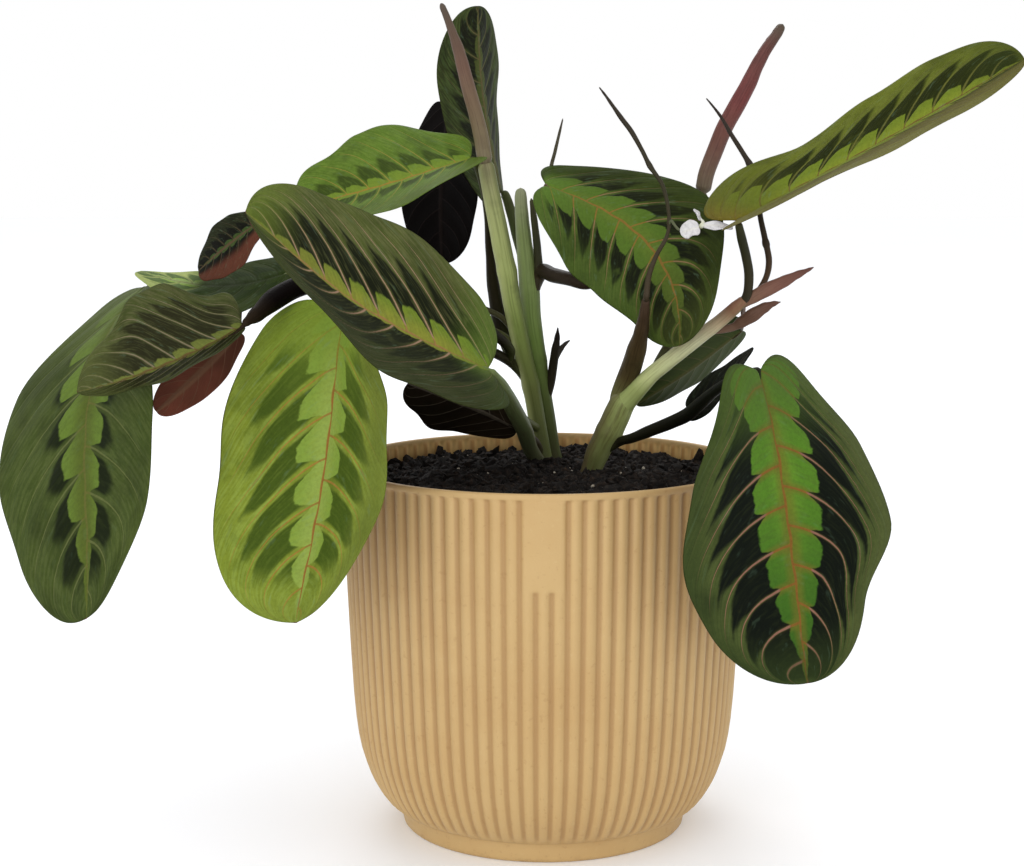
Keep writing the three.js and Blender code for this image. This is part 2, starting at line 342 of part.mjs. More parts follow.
// ---- stalks ----------------------------------------------------------------
function stalkGeometry(name, grow = 0) {
  const rows = STALKS[name], sides = SIDES[name] ?? 8;
  const curve = new THREE.CatmullRomCurve3(rows.map(V), false, 'centripetal');
  const n = Math.max(3, Math.round((rows.length - 1) * 1.4));
  const pts = [], radii = [];
  for (let i = 0; i <= n; i++) {
    const s = i / n, x = s * (rows.length - 1), k = Math.min(Math.floor(x), rows.length - 2), f = x - k;
    pts.push(curve.getPoint(s));
    radii.push(THREE.MathUtils.lerp(rows[k][3], rows[k + 1][3], f) + grow);
  }
  if (grow > 0) {
    pts[0].addScaledVector(pts[0].clone().sub(pts[1]).normalize(), grow);
    pts[n].addScaledVector(pts[n].clone().sub(pts[n - 1]).normalize(), grow);
  }
  const rings = [];
  let normal = null;
  for (let i = 0; i <= n; i++) {
    const t = pts[Math.min(i + 1, n)].clone().sub(pts[Math.max(i - 1, 0)]).normalize();
    if (!normal) normal = new THREE.Vector3(0, 1, 0).cross(t).normalize();
    normal.addScaledVector(t, -normal.dot(t)).normalize();
    const bi = new THREE.Vector3().crossVectors(t, normal);
    const ring = [];
    for (let k = 0; k < sides; k++) {
      const a = k / sides * Math.PI * 2;
      ring.push(pts[i].clone().addScaledVector(normal, Math.cos(a) * radii[i]).addScaledVector(bi, Math.sin(a) * radii[i]).toArray());
    }
    rings.push(ring);
  }
  return ringSolid(rings, pts[0].toArray(), pts[n].toArray());
}

// ---- assembly --------------------------------------------------------------
const group = new THREE.Group();
group.name = 'potted_prayer_plant';
const add = (name, geometry, material) => {
  const mesh = new THREE.Mesh(geometry, material);
  mesh.name = name;
  group.add(mesh);
};
const touches = (a, b) => {
  const p = a.boundingBox(), q = b.boundingBox();
  return [0, 1, 2].every((k) => p.min[k] <= q.max[k] && q.min[k] <= p.max[k]);
};

add('pot', potGeometry(), potClay);

const grown = [];
let soil = toSolid(soilGeometry());
for (const name of Object.keys(STALKS)) {
  let solid = toSolid(stalkGeometry(name));
  let cut = false;
  for (const other of grown) if (touches(solid, other)) { solid = solid.subtract(other); cut = true; }
  if (cut) solid = biggest(solid);
  add(name, cut ? toGeometry(solid) : stalkGeometry(name), LOOK[name] ?? stalkGreen);
  const wide = toSolid(stalkGeometry(name, GAP));
  grown.push(wide);
  if (touches(soil, wide)) soil = soil.subtract(wide);
}
add('soil', toGeometry(biggest(soil)), soilMat);

for (const [table, mat] of [[LEAVES, greenDark], [PETALS, petal]]) {
  for (const [name, p] of Object.entries(table)) {
    const thick = table === PETALS ? 0.7 : BLADE, rows = table === PETALS ? 6 : ROWS;
    const plain = bladeGeometry(p, thick, rows);
    let solid = toSolid(plain), cut = false;
    for (const other of grown) if (touches(solid, other)) {
      const after = solid.subtract(other);
      if (after.volume() < solid.volume() - 1e-6) { solid = after; cut = true; }
    }
    add(name, cut ? toGeometry(biggest(solid)) : plain, LOOK[name] ?? mat);
  }
}

export default group;
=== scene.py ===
import math, random
import bpy
import numpy as np
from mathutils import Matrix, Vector


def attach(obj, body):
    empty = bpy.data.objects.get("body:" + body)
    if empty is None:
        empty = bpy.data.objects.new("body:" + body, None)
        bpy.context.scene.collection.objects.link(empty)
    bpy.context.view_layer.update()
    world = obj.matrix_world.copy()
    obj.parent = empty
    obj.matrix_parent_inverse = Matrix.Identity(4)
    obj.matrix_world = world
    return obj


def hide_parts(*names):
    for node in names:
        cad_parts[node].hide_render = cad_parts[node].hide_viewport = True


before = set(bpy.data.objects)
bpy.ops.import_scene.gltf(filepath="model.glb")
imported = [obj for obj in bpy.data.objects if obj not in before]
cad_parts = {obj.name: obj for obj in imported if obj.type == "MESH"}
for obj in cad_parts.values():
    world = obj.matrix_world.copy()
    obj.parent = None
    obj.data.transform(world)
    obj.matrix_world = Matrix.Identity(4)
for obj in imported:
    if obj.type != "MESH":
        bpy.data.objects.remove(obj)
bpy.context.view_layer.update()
random.seed(11)
RNG = np.random.default_rng(7)
MM = 0.001


# ---------------------------------------------------------------- colour and nodes
def lin(c, gain=0.74):
    """screen colour to surface colour; gain allows for how bright the studio is"""
    out = []
    for v in c[:3]:
        v = v / 255.0
        out.append((v / 12.92 if v <= 0.04045 else ((v + 0.055) / 1.055) ** 2.4) * gain)
    return (out[0], out[1], out[2], 1.0)


class Nodes:
    """a material's node tree, written as short expressions"""
    def __init__(self, name):
        self.mat = bpy.data.materials.new(name)
        self.mat.use_nodes = True
        self.t = self.mat.node_tree
        self.t.nodes.clear()
        self.out = self.t.nodes.new("ShaderNodeOutputMaterial")
        self.bsdf = self.t.nodes.new("ShaderNodeBsdfPrincipled")
        self.t.links.new(self.bsdf.outputs[0], self.out.inputs[0])
        self.tc = self.t.nodes.new("ShaderNodeTexCoord")
        uv = self.t.nodes.new("ShaderNodeSeparateXYZ")
        self.t.links.new(self.tc.outputs["UV"], uv.inputs[0])
        self.u, self.v = uv.outputs[0], uv.outputs[1]
        self.obj = self.tc.outputs["Object"]

    def put(self, sock, val):
        if isinstance(val, bpy.types.NodeSocket):
            self.t.links.new(val, sock)
        else:
            sock.default_value = val

    def m(self, op, a, b=0.0, c=0.0, clamp=False):
        n = self.t.nodes.new("ShaderNodeMath")
        n.operation = op
        n.use_clamp = clamp
        for i, x in enumerate((a, b, c)):
            self.put(n.inputs[i], x)
        return n.outputs[0]

    def add(self, a, b): return self.m("ADD", a, b)
    def sub(self, a, b): return self.m("SUBTRACT", a, b)
    def mul(self, a, b): return self.m("MULTIPLY", a, b)
    def pow(self, a, b): return self.m("POWER", a, b)
    def max(self, a, b): return self.m("MAXIMUM", a, b)
    def min(self, a, b): return self.m("MINIMUM", a, b)
    def abs(self, a): return self.m("ABSOLUTE", a)
    def inv(self, a): return self.m("SUBTRACT", 1.0, a)

    def step(self, x, lo, hi, a=0.0, b=1.0):
        n = self.t.nodes.new("ShaderNodeMapRange")
        n.interpolation_type = "SMOOTHSTEP"
        self.put(n.inputs["Value"], x)
        self.put(n.inputs["From Min"], lo)
        self.put(n.inputs["From Max"], hi)
        n.inputs["To Min"].default_value = a
        n.inputs["To Max"].default_value = b
        return n.outputs[0]

    def mix(self, f, a, b):
        n = self.t.nodes.new("ShaderNodeMix")
        n.data_type = "RGBA"
        n.clamp_factor = True
        self.put(n.inputs[0], f)
        self.put(n.inputs[6], a)
        self.put(n.inputs[7], b)
        return n.outputs[2]

    def noise(self, vec, scale, detail=2.0, rough=0.5, w=None):
        n = self.t.nodes.new("ShaderNodeTexNoise")
        self.put(n.inputs["Vector"], vec)
        n.inputs["Scale"].default_value = scale
        n.inputs["Detail"].default_value = detail
        n.inputs["Roughness"].default_value = rough
        return n.outputs[0]

    def vec(self, x, y, z=0.0):
        n = self.t.nodes.new("ShaderNodeCombineXYZ")
        for i, a in enumerate((x, y, z)):
            self.put(n.inputs[i], a)
        return n.outputs[0]

    def ramp(self, x, stops):
        n = self.t.nodes.new("ShaderNodeValToRGB")
        e = n.color_ramp.elements
        while len(e) > 1:
            e.remove(e[-1])
        e[0].position, e[0].color = stops[0][0], lin(stops[0][1])
        for p, c in stops[1:]:
            q = e.new(p)
            q.color = lin(c)
        self.put(n.inputs[0], x)
        return n.outputs[0]

    def bump(self, h, dist, strength=1.0):
        n = self.t.nodes.new("ShaderNodeBump")
        n.inputs["Distance"].default_value = dist
        n.inputs["Strength"].default_value = strength
        self.put(n.inputs["Height"], h)
        self.t.links.new(n.outputs[0], self.bsdf.inputs["Normal"])

    def done(self, color, rough, **kw):
        self.put(self.bsdf.inputs["Base Color"], color)
        self.put(self.bsdf.inputs["Roughness"], rough)
        for k, val in kw.items():
            self.bsdf.inputs[k.replace("_", " ")].default_value = val
        return self.mat


def mesh_object(name, verts, faces, uvs=None, mats=(), mat_index=None, smooth=True):
    me = bpy.data.meshes.new(name)
    me.from_pydata([tuple(v) for v in verts], [], faces)
    if uvs is not None:
        lay = me.uv_layers.new(name="UVMap")
        flat = np.array([uvs[i] for f in faces for i in f], dtype=np.float32).ravel() if not callable(uvs) else uvs(me)
        lay.data.foreach_set("uv", flat)
    for m_ in mats:
        me.materials.append(m_)
    if mat_index is not None:
        me.polygons.foreach_set("material_index", np.array(mat_index, dtype=np.int32))
    me.polygons.foreach_set("use_smooth", np.full(len(faces), smooth))
    me.update()
    ob = bpy.data.objects.new(name, me)
    bpy.context.scene.collection.objects.link(ob)
    return ob


def hand_in(ob, slot, *nodes):
    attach(ob, "root")
    if nodes:
        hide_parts(*nodes)
    return ob


# base point, heading, rise, roll, length, half width, droop x3, sideways bend, twist, fold right and left,
# curl right and left, width factors at six knots right and left, how far the base lobes reach back; millimetres
LEAVES = {
    "leaf_right_hanging": [67.2, -71, 168.4, -0.523, -1.227, 0.113, 101.8, 35.5, 0.822, 0.213, 0.122, -0.029, 0.933, 0.117, 0.106, -0.247, -0.308,
        -0.03, -0.11, 0.07, 0.11, 0.05, 0.04, -0.02, -0.05, 0.11, 0.12, -0.2, -0.18, 0.5],
    "leaf_front_left": [-66.2, -37.2, 182.9, -2.28, -1.314, -0.035, 105.4, 38.2, 0.654, -0.818, 0.208, -0.312, -0.239, 0.235, 0.396, -0.093, 0.027,
        -0.04, 0.07, 0.1, 0.01, 0.06, 0.06, -0.01, -0.17, -0, 0.04, 0.07, -0, 0.49],
    "leaf_far_left": [-144.7, 27.6, 187.6, -2.139, -0.469, 0.378, 136.1, 37.6, 1.395, 0.962, -0.599, -0.224, -0.06, 0.061, -0.041, 0, 0,
        0, -0.22, 0.16, 0.09, 0, -0.05, -0.6, -0.35, 0, 0.08, 0.2, -0.15, 0.5],
    "leaf_left_upper": [-98.8, -42.1, 179.9, -2.711, -0.502, -0.709, 58.5, 30.1, 0.233, 0.095, 0.025, 0.543, 0.147, 0.029, -1.9, 0, 0,
        -0.01, -0.21, 0.1, 0.13, -0.12, -0.01, -0.6, -0.6, -0.6, -0.6, -0.6, -0.6, 0.5],
    "leaf_left_turned": [-109.1, 19.1, 172.2, -2.389, -0.692, 1.781, 45.3, 8.2, 0.211, 0.172, 0.226, -0.15, 0.21, 0.234, 0.204, 0, -0,
        -0.03, -0.09, 0.07, 0.05, -0.03, -0.01, -0.01, -0.05, -0.06, -0, 0.04, 0.02, 0.5],
    "leaf_left_pale": [-91.6, 16, 193.5, -3.23, -0.3, -0.448, 54.8, 23.8, -0.006, -0.891, 0.505, 0.109, 0.422, -0.03, -0.03, 0, -0,
        0, 0.03, 0.03, -0.02, -0.04, 0.01, -0, -0.05, 0.16, -0.15, -0, 0, 0.5],
    "leaf_left_small": [-101, 5.2, 210.8, 2.91, -0.575, -1.183, 30.4, 10.4, 0.554, 0.352, 0.402, 0.124, 0.196, 0.01, 0.028, 0, 0,
        -0.03, -0.06, 0.02, 0.09, -0.05, -0.02, -0.01, -0.13, 0.1, 0.06, -0.06, -0, 0.5],
    "leaf_centre_left": [-18.5, -35.2, 165.1, -2.484, 0.415, -0.902, 106.7, 34.5, 0.556, -0.538, 0.413, 0.144, 0.07, 0.23, 0.266, -0, -0,
        -0.09, 0.02, 0.14, 0.02, -0, 0, -0, -0.02, -0.02, 0.07, -0.05, -0, 0.5],
    "leaf_top_left": [-25.9, 13.1, 233.9, -2.875, -0.259, -0.32, 63.3, 26.9, 0.463, -0.111, 0.097, 0.146, -0.386, 0.211, 0.284, -0, 0,
        -0.02, -0.09, 0.13, 0.04, -0.17, -0.02, -0, -0.05, 0.03, 0.02, 0, 0, 0.5],
    "leaf_top_upright": [-15.9, 50.6, 221.9, -2.331, 1.227, -1.248, 67.8, 22, 0.015, -0.148, 0.001, 0.27, -0.454, -0.437, -0.058, -0, 0,
        -0, -0, -0.02, 0.01, 0.02, -0.01, 0, 0, 0.01, 0.03, 0.05, -0.02, 0.5],
    "leaf_behind": [-35.5, 62.2, 251.8, -3.018, -1.441, 2.701, 57.8, 21.5, 0.193, -0.213, 0.165, 0.167, -0.382, -0.09, -0.036, -0, -0,
        0, -0, -0.04, 0.03, 0, -0.01, 0.01, -0.02, 0.03, 0.03, 0.02, 0, 0.5],
    "leaf_low": [-9.2, 22.9, 136.9, -2.565, 0.496, 0.812, 51.5, 15.1, 0.281, 0.165, 0.145, 0.083, 0.339, 0.213, 0.15, -0, -0,
        -0, -0.07, -0.01, 0.12, -0.08, -0.02, -0.8, -0.7, -0.5, -0.45, -0.45, -0.45, 0.5],
    "leaf_centre_right": [0.5, 15.8, 224.6, 0.038, -0.335, 0.176, 85.8, 27, 0.027, 0.119, 0.189, 1.532, 1.52, -0.267, 0.251, 0, 0,
        0.01, 0.08, 0.05, -0.06, -0.11, 0.06, 0.02, -0.11, -0.06, 0.01, -0.14, -0.01, 0.5],
    "leaf_right_long": [64.6, -19.1, 213.5, 0.083, 0.496, 0.309, 107.1, 25.5, -0.028, -0.219, -0.159, 0.232, 0.247, 0.383, 0.23, -0, 0,
        0, 0.05, -0.09, -0.07, 0.05, 0.04, 0.02, 0.13, -0.26, -0.17, 0.02, 0.18, 1.1],
    "leaf_right_olive": [70.4, 22.1, 172.8, -2.965, -0.649, 0.765, 46.1, 14.9, 0.197, -0.299, 0.047, 0.017, 0.005, 0.168, 0.15, 0, 0,
        -0, -0.03, 0.02, 0.02, 0.01, -0.02, -0, -0, -0, -0, -0, -0, 0.5],
    "leaf_right_small": [48.9, -21, 149.5, -0.777, 0.586, 1.227, 36.3, 7.9, 0.055, -0.248, 0.08, -0.118, -0.62, 0.041, 0.036, 0, -0,
        0, 0, 0.02, 0.01, -0.01, -0, -0.01, 0.02, 0.05, -0.04, -0.03, -0, 0.5],
}
# centre line and radius, millimetres
STALKS = {
    "stem_left_front": [(0, 38, 119.5, 3.52), (-0.7, 38, 125.5, 3.33), (-2.6, 36, 138.4, 3.13), (-5, 34, 152, 3.11), (-7.9, 32, 163.9, 3.28),
        (-10.2, 30, 175, 3.35), (-12, 28, 184.2, 3.34), (-13.4, 26, 193.4, 3.41), (-15, 24, 201.4, 3.4), (-16.5, 22, 209.6, 3.29),
        (-17.9, 20, 216.8, 3.19), (-19.5, 19, 224.9, 3.01), (-21, 17, 233.3, 2.99)],
    "rolled_leaf_left": [(-21.3, 17, 234.3, 2.9), (-22.5, 16, 241.7, 2.86), (-24.4, 14, 249.9, 2.76), (-26.5, 12, 257.5, 2.7), (-28.4, 11, 265, 2.52),
        (-30, 10, 271.1, 2.25), (-32, 8, 277.1, 1.64), (-33.7, 7, 281.8, 1.38), (-35, 6, 285.1, 1.2), (-35.7, 6, 286.7, 0.69)],
    "stem_left_back": [(4.5, 44, 118.5, 3.36), (3, 44, 124.6, 3.26), (1.1, 42, 137.6, 3.24), (-1.1, 40, 151.3, 3.23), (-2.8, 38, 164.1, 3.21),
        (-4.5, 36, 175.3, 3.47), (-5.4, 34, 186.4, 3.73), (-6.5, 33, 196.6, 3.26), (-7.4, 32, 204.6, 2.8), (-8.1, 31, 212.5, 2.52),
        (-8.5, 30.5, 219, 2.25), (-8.6, 30, 223.3, 1.8)],
    "petiole_centre_left": [(-4.4, 29, 127.6, 2.74), (-7.1, 14, 137.8, 3.04), (-10.8, -6, 148.3, 2.95), (-14.2, -24, 157.4, 2.53), (-17.5, -34, 163.3, 1.83)],
    "petiole_top_left": [(-11.1, 38, 159.6, 1.65), (-13.7, 39, 165.8, 2.39), (-16, 39, 173.2, 2.94), (-18.4, 37, 186.1, 2.37), (-19.7, 33, 200.2, 1.63),
        (-20.3, 28, 213.7, 1.44), (-21.9, 24, 224.4, 1.42), (-24.8, 16, 233, 1.23)],
    "petiole_top_upright": [(-6, 42, 182.1, 2.02), (-7.5, 46, 195.8, 2.03), (-10.1, 49, 205.6, 2.03), (-12.4, 51, 214, 1.85), (-14.6, 51, 220.3, 1.66)],
    "petiole_behind": [(-6.4, 43, 169.5, 1.66), (-9.8, 49, 181.6, 1.67), (-15.5, 57, 195.2, 1.68), (-20.1, 63, 212.5, 1.5), (-25.8, 65, 229.3, 1.5),
        (-31.3, 64, 241.2, 1.31), (-34.6, 63, 245.6, 1.12)],
    "petiole_front_left": [(-7.2, 21, 140.4, 1.8), (-9.9, 8, 145.8, 1.77), (-13.3, 0, 150.7, 1.75), (-18.8, -4, 155.7, 1.74), (-26.3, -7, 161.3, 1.73),
        (-33.8, -16, 167.4, 1.53), (-45, -26, 174.8, 1.51), (-56.1, -33, 180.4, 1.41), (-63.6, -37.5, 182.4, 1.32)],
    "petiole_far_left": [(-11.3, 32, 159.5, 1.82), (-22.9, 17, 167.9, 1.78), (-40.4, 13, 180, 1.77), (-58.4, 17, 187.5, 1.78), (-76.6, 21, 191.1, 1.79),
        (-93.2, 25, 190.8, 1.62), (-111.4, 26, 188.6, 1.62), (-127.9, 27, 186, 1.44), (-139.7, 28, 185.2, 1.27)],
    "petiole_left_upper": [(-12.3, 26, 165.2, 1.81), (-24.2, 4, 177.3, 1.92), (-39.2, -8, 185.8, 2.06), (-55.7, -16, 190.8, 2.2), (-72, -22, 193.3, 2.69),
        (-81.7, -26, 191.8, 3.51), (-89.4, -31, 187.9, 3.65), (-94.5, -38, 183.4, 2.63), (-97.4, -41.5, 181.1, 1.47)],
    "petiole_left_pale": [(-15, 31, 169.8, 1.45), (-24, 30, 173.9, 1.45), (-37.6, 28, 183.1, 1.44), (-52, 27, 189.7, 1.44), (-66.3, 26, 194, 1.44),
        (-80.1, 21, 195, 1.43), (-90, 17, 194.2, 1.24)],
    "petiole_left_small": [(-15.3, 30, 176.5, 1.09), (-23.9, 28, 181.3, 1.08), (-35.7, 26, 192.3, 1.08), (-51.3, 18, 200.9, 1.07), (-68.4, 12, 205.4, 1.06),
        (-85.5, 8, 208.4, 0.87), (-98.9, 6, 210.6, 0.7)],
    "petiole_left_turned": [(-109.4, 24, 186.9, 0.9), (-109.2, 22, 181.7, 0.9), (-109.2, 20.3, 176.5, 0.81), (-109.3, 19.6, 173.3, 0.72)],
    "petiole_low": [(-3.6, 30, 131.5, 1.64), (-6.2, 27, 133.4, 1.46), (-9, 23.5, 136.1, 1.09)],
    "petiole_centre_right": [(-1.2, 32, 193, 2.72), (3.1, 24, 192.4, 2.69), (9.1, 15, 191.6, 2.48), (15.4, 11, 190.5, 2.29), (20.6, 11, 194, 1.93),
        (20.6, 13, 202.6, 1.58), (16.1, 18, 211.6, 1.41), (9.8, 22.5, 219.2, 1.42), (3.4, 20.6, 223.8, 1.06)],
    "stem_right": [(15.4, 10, 119, 3.56), (17.1, 10, 124.7, 3.74), (19.5, 9, 131.4, 4.26), (23, 8, 138, 4.69), (25.4, 7.5, 143.4, 4.77),
        (27.5, 7, 148.1, 4.58), (29.6, 6.5, 151.7, 4.05)],
    "stem_right_brown": [(26.8, 9, 151.4, 3.18), (29.8, 6, 158.9, 3.69), (31.8, -3, 167.5, 3.46), (33.1, -11, 174.9, 2.56), (33.8, -17, 181.5, 1.86),
        (34.2, -20.5, 187.5, 1.35)],
    "petiole_right_pale": [(31.3, 5, 150.8, 3.51), (35, 3, 154.6, 3.41), (39.7, 0, 159.9, 3.13), (45.3, -3, 165.6, 2.86), (51, -5, 170.2, 2.67),
        (56, -7, 174.5, 2.49), (60.9, -9, 179.2, 2.31), (64.7, -11, 183.1, 2.22), (67.3, -12, 185.6, 1.87)],
    "flower_stalk": [(34.3, -21.5, 188.3, 1.09), (35.3, -18, 195.1, 0.93), (38.1, -15, 202, 0.76), (41.2, -13, 207.3, 0.68), (42.3, -11, 211.3, 0.64),
        (42, -8, 217.6, 0.65), (40.1, -4, 225.3, 0.72), (36.1, -1, 231.4, 0.77), (33.4, 1, 236.8, 0.77), (29.7, 3, 243.3, 0.89),
        (26.6, 4, 247.4, 0.86), (23.2, 5, 252.2, 0.62), (20.8, 6, 255.6, 0.45), (18.7, 6, 258.3, 0.24)],
    "thin_bract_right": [(70.9, -10, 187.2, 0.85), (75.4, -8, 192.8, 1.03), (77, -5, 198.8, 1.11), (75.7, -3, 206.6, 1.03), (74.1, -1, 214.7, 0.95),
        (73.8, 4, 223.8, 0.95), (71.4, 6, 231, 0.95), (68, 7, 236.8, 0.87), (64.5, 8, 242.3, 0.78), (61.1, 9, 248.1, 0.55),
        (57.9, 9, 252.2, 0.38), (55.9, 10, 254.6, 0.23)],
    "petiole_right_long": [(68.6, -12.5, 187.3, 1.53), (69.3, -14, 194.6, 1.61), (68, -16, 201.4, 1.6), (66.4, -18, 206.9, 1.6), (65.2, -19, 211.6, 1.34)],
    "thin_bract_centre": [(2.3, 30, 229.7, 0.72), (3.7, 29, 236.1, 0.64), (5.1, 28, 242.1, 0.53), (6.5, 27, 248, 0.27)],
    "rolled_leaf_right": [(56.2, 22, 223.8, 3.01), (57.2, 22, 228.7, 3.1), (60.2, 22, 236.8, 3.18), (63.2, 21, 244.5, 3.26), (67.6, 20, 252.8, 3.34),
        (71.2, 19, 259.7, 3.15), (74.1, 18, 266.2, 2.71), (77.4, 17, 272, 2.27), (80.7, 16, 276.7, 1.91), (82.7, 16, 280.1, 1.56)],
    "stalk_rolled_right": [(40.3, 0, 164.4, 1.74), (44.2, 3, 171.1, 1.74), (47.9, 8, 183, 1.75), (50.9, 13, 197.8, 1.76), (53.6, 18, 210.5, 1.94),
        (55.8, 22, 222.7, 2.31)],
    "bract_right_upper": [(68.3, -12, 185.3, 1.53), (71.7, -12, 187.6, 2.21), (76.1, -12, 190, 2.38), (81.1, -12, 192.4, 2.04), (85.8, -12, 194.8, 1.36),
        (89.5, -12, 196.5, 0.68), (91.5, -12, 197.5, 0.2)],
    "bract_right_lower": [(65, -5, 176.4, 1.38), (68, -6, 178.3, 2.06), (71.5, -8, 180.8, 2.4), (75.1, -9, 183.3, 1.88), (78.1, -10, 184.8, 1.02),
        (80.8, -10, 185.5, 0.2)],
    "petiole_right_olive": [(67.6, -6, 183.8, 0.86), (69.2, 3, 180.6, 0.87), (70.1, 12, 176.7, 0.88), (70.3, 19, 174, 0.8)],
    "petiole_right_hanging": [(26.5, 5, 134.8, 1.59), (30.7, -3, 137.4, 1.74), (36.4, -12, 141.2, 2.06), (42.8, -20, 145.1, 2.21), (47.9, -28, 148.9, 2.35),
        (51.5, -37, 153.7, 2.15), (55.6, -47, 159.3, 1.79), (60.1, -57, 164, 1.6), (64.4, -65, 167, 1.42), (66.7, -69.5, 168.2, 1.25)],
    "petiole_right_small": [(48.1, -25.6, 148.9, 0.76), (48.4, -23.8, 149.3, 0.71), (48.6, -22.2, 149.6, 0.64)],
    "twig_left": [(2.5, 39, 152.5, 1.66), (3.3, 38, 158.2, 1.65), (4.1, 37, 164.2, 1.56), (4.7, 36.5, 168.3, 1.1), (5, 36, 172.7, 0.27)],
    "flower_pedicel": [(42.9, -11.5, 213, 0.51), (45.3, -12, 210.3, 0.44), (48.7, -12, 209.3, 0.44), (52.8, -12.8, 211.2, 0.41)],
}


# ---------------------------------------------------------------- blades
STEPS = 60
KNOTS = [0, 0.12, 0.32, 0.55, 0.78, 1.0]
ARCH = (0.11, 0.17)


def unit(a):
    return a / np.linalg.norm(a)


def turn(v, k, a):
    return v * math.cos(a) + np.cross(k, v) * math.sin(a) + k * np.dot(k, v) * (1 - math.cos(a))


def midrib(p):
    x, y, z, yaw, pitch, roll, length = p[:7]
    b0, b1, b2, side, twist = p[8:13]
    cy, sy, cp, sp = math.cos(yaw), math.sin(yaw), math.cos(pitch), math.sin(pitch)
    T = np.array([cy * cp, sy * cp, sp])
    N0 = np.array([-cy * sp, -sy * sp, cp])
    N = N0 * math.cos(roll) + np.cross(T, N0) * math.sin(roll)
    B = np.cross(T, N)
    P = np.array([x, y, z], float)
    rows = [np.stack([P, T, N, B])]
    for i in range(STEPS):
        t = (i + 0.5) / STEPS
        b = b0 * (1 - t) * (1 - 2 * t) + b1 * 4 * t * (1 - t) + b2 * t * (2 * t - 1)
        T, N = turn(T, B, -b / STEPS), turn(N, B, -b / STEPS)
        T, B = turn(T, N, -side / STEPS), turn(B, N, -side / STEPS)
        N = turn(N, T, twist / STEPS)
        T = unit(T)
        B = unit(np.cross(T, N))
        N = np.cross(B, T)
        P = P + T * (length / STEPS)
        rows.append(np.stack([P, T, N, B]))
    return np.array(rows)


def width_factor(t, c):
    k = np.clip(np.searchsorted(KNOTS, t, side="right") - 1, 0, 4)
    kn, c = np.array(KNOTS), np.array(c)
    s = 0.5 - 0.5 * np.cos(np.pi * np.clip((t - kn[k]) / (kn[k + 1] - kn[k]), 0, 1))
    return 1 + c[k] * (1 - s) + c[k + 1] * s


def arches(look):
    """how the side veins bend toward the tip, on the right half and on the left half"""
    right = look.get("arch", ARCH)
    return right, look.get("arch_l", right)


def from_midrib(U, V, look):
    """how far a point is from the midrib, -1 to 1, where the midrib doesn't run down the middle of the blade"""
    m = look.get("mid", (0.0, 0.0, 0.0))
    u0 = m[0] + m[1] * V + m[2] * V * V
    t = U - u0
    return t / (1 - np.sign(t) * u0)


def phase(U, V, look):
    U = from_midrib(U, V, look)
    A = np.abs(U)
    lift = [a[0] * A + a[1] * A * A + (a[2] if len(a) > 2 else 0.0) * A ** 4 for a in arches(look)]
    return look["nv"] * (V - np.where(U > 0, lift[0], lift[1]) - look.get("skew", 0.0) * U) + np.where(U > 0, 0.5, 0.0) + look.get("off", 0.0)


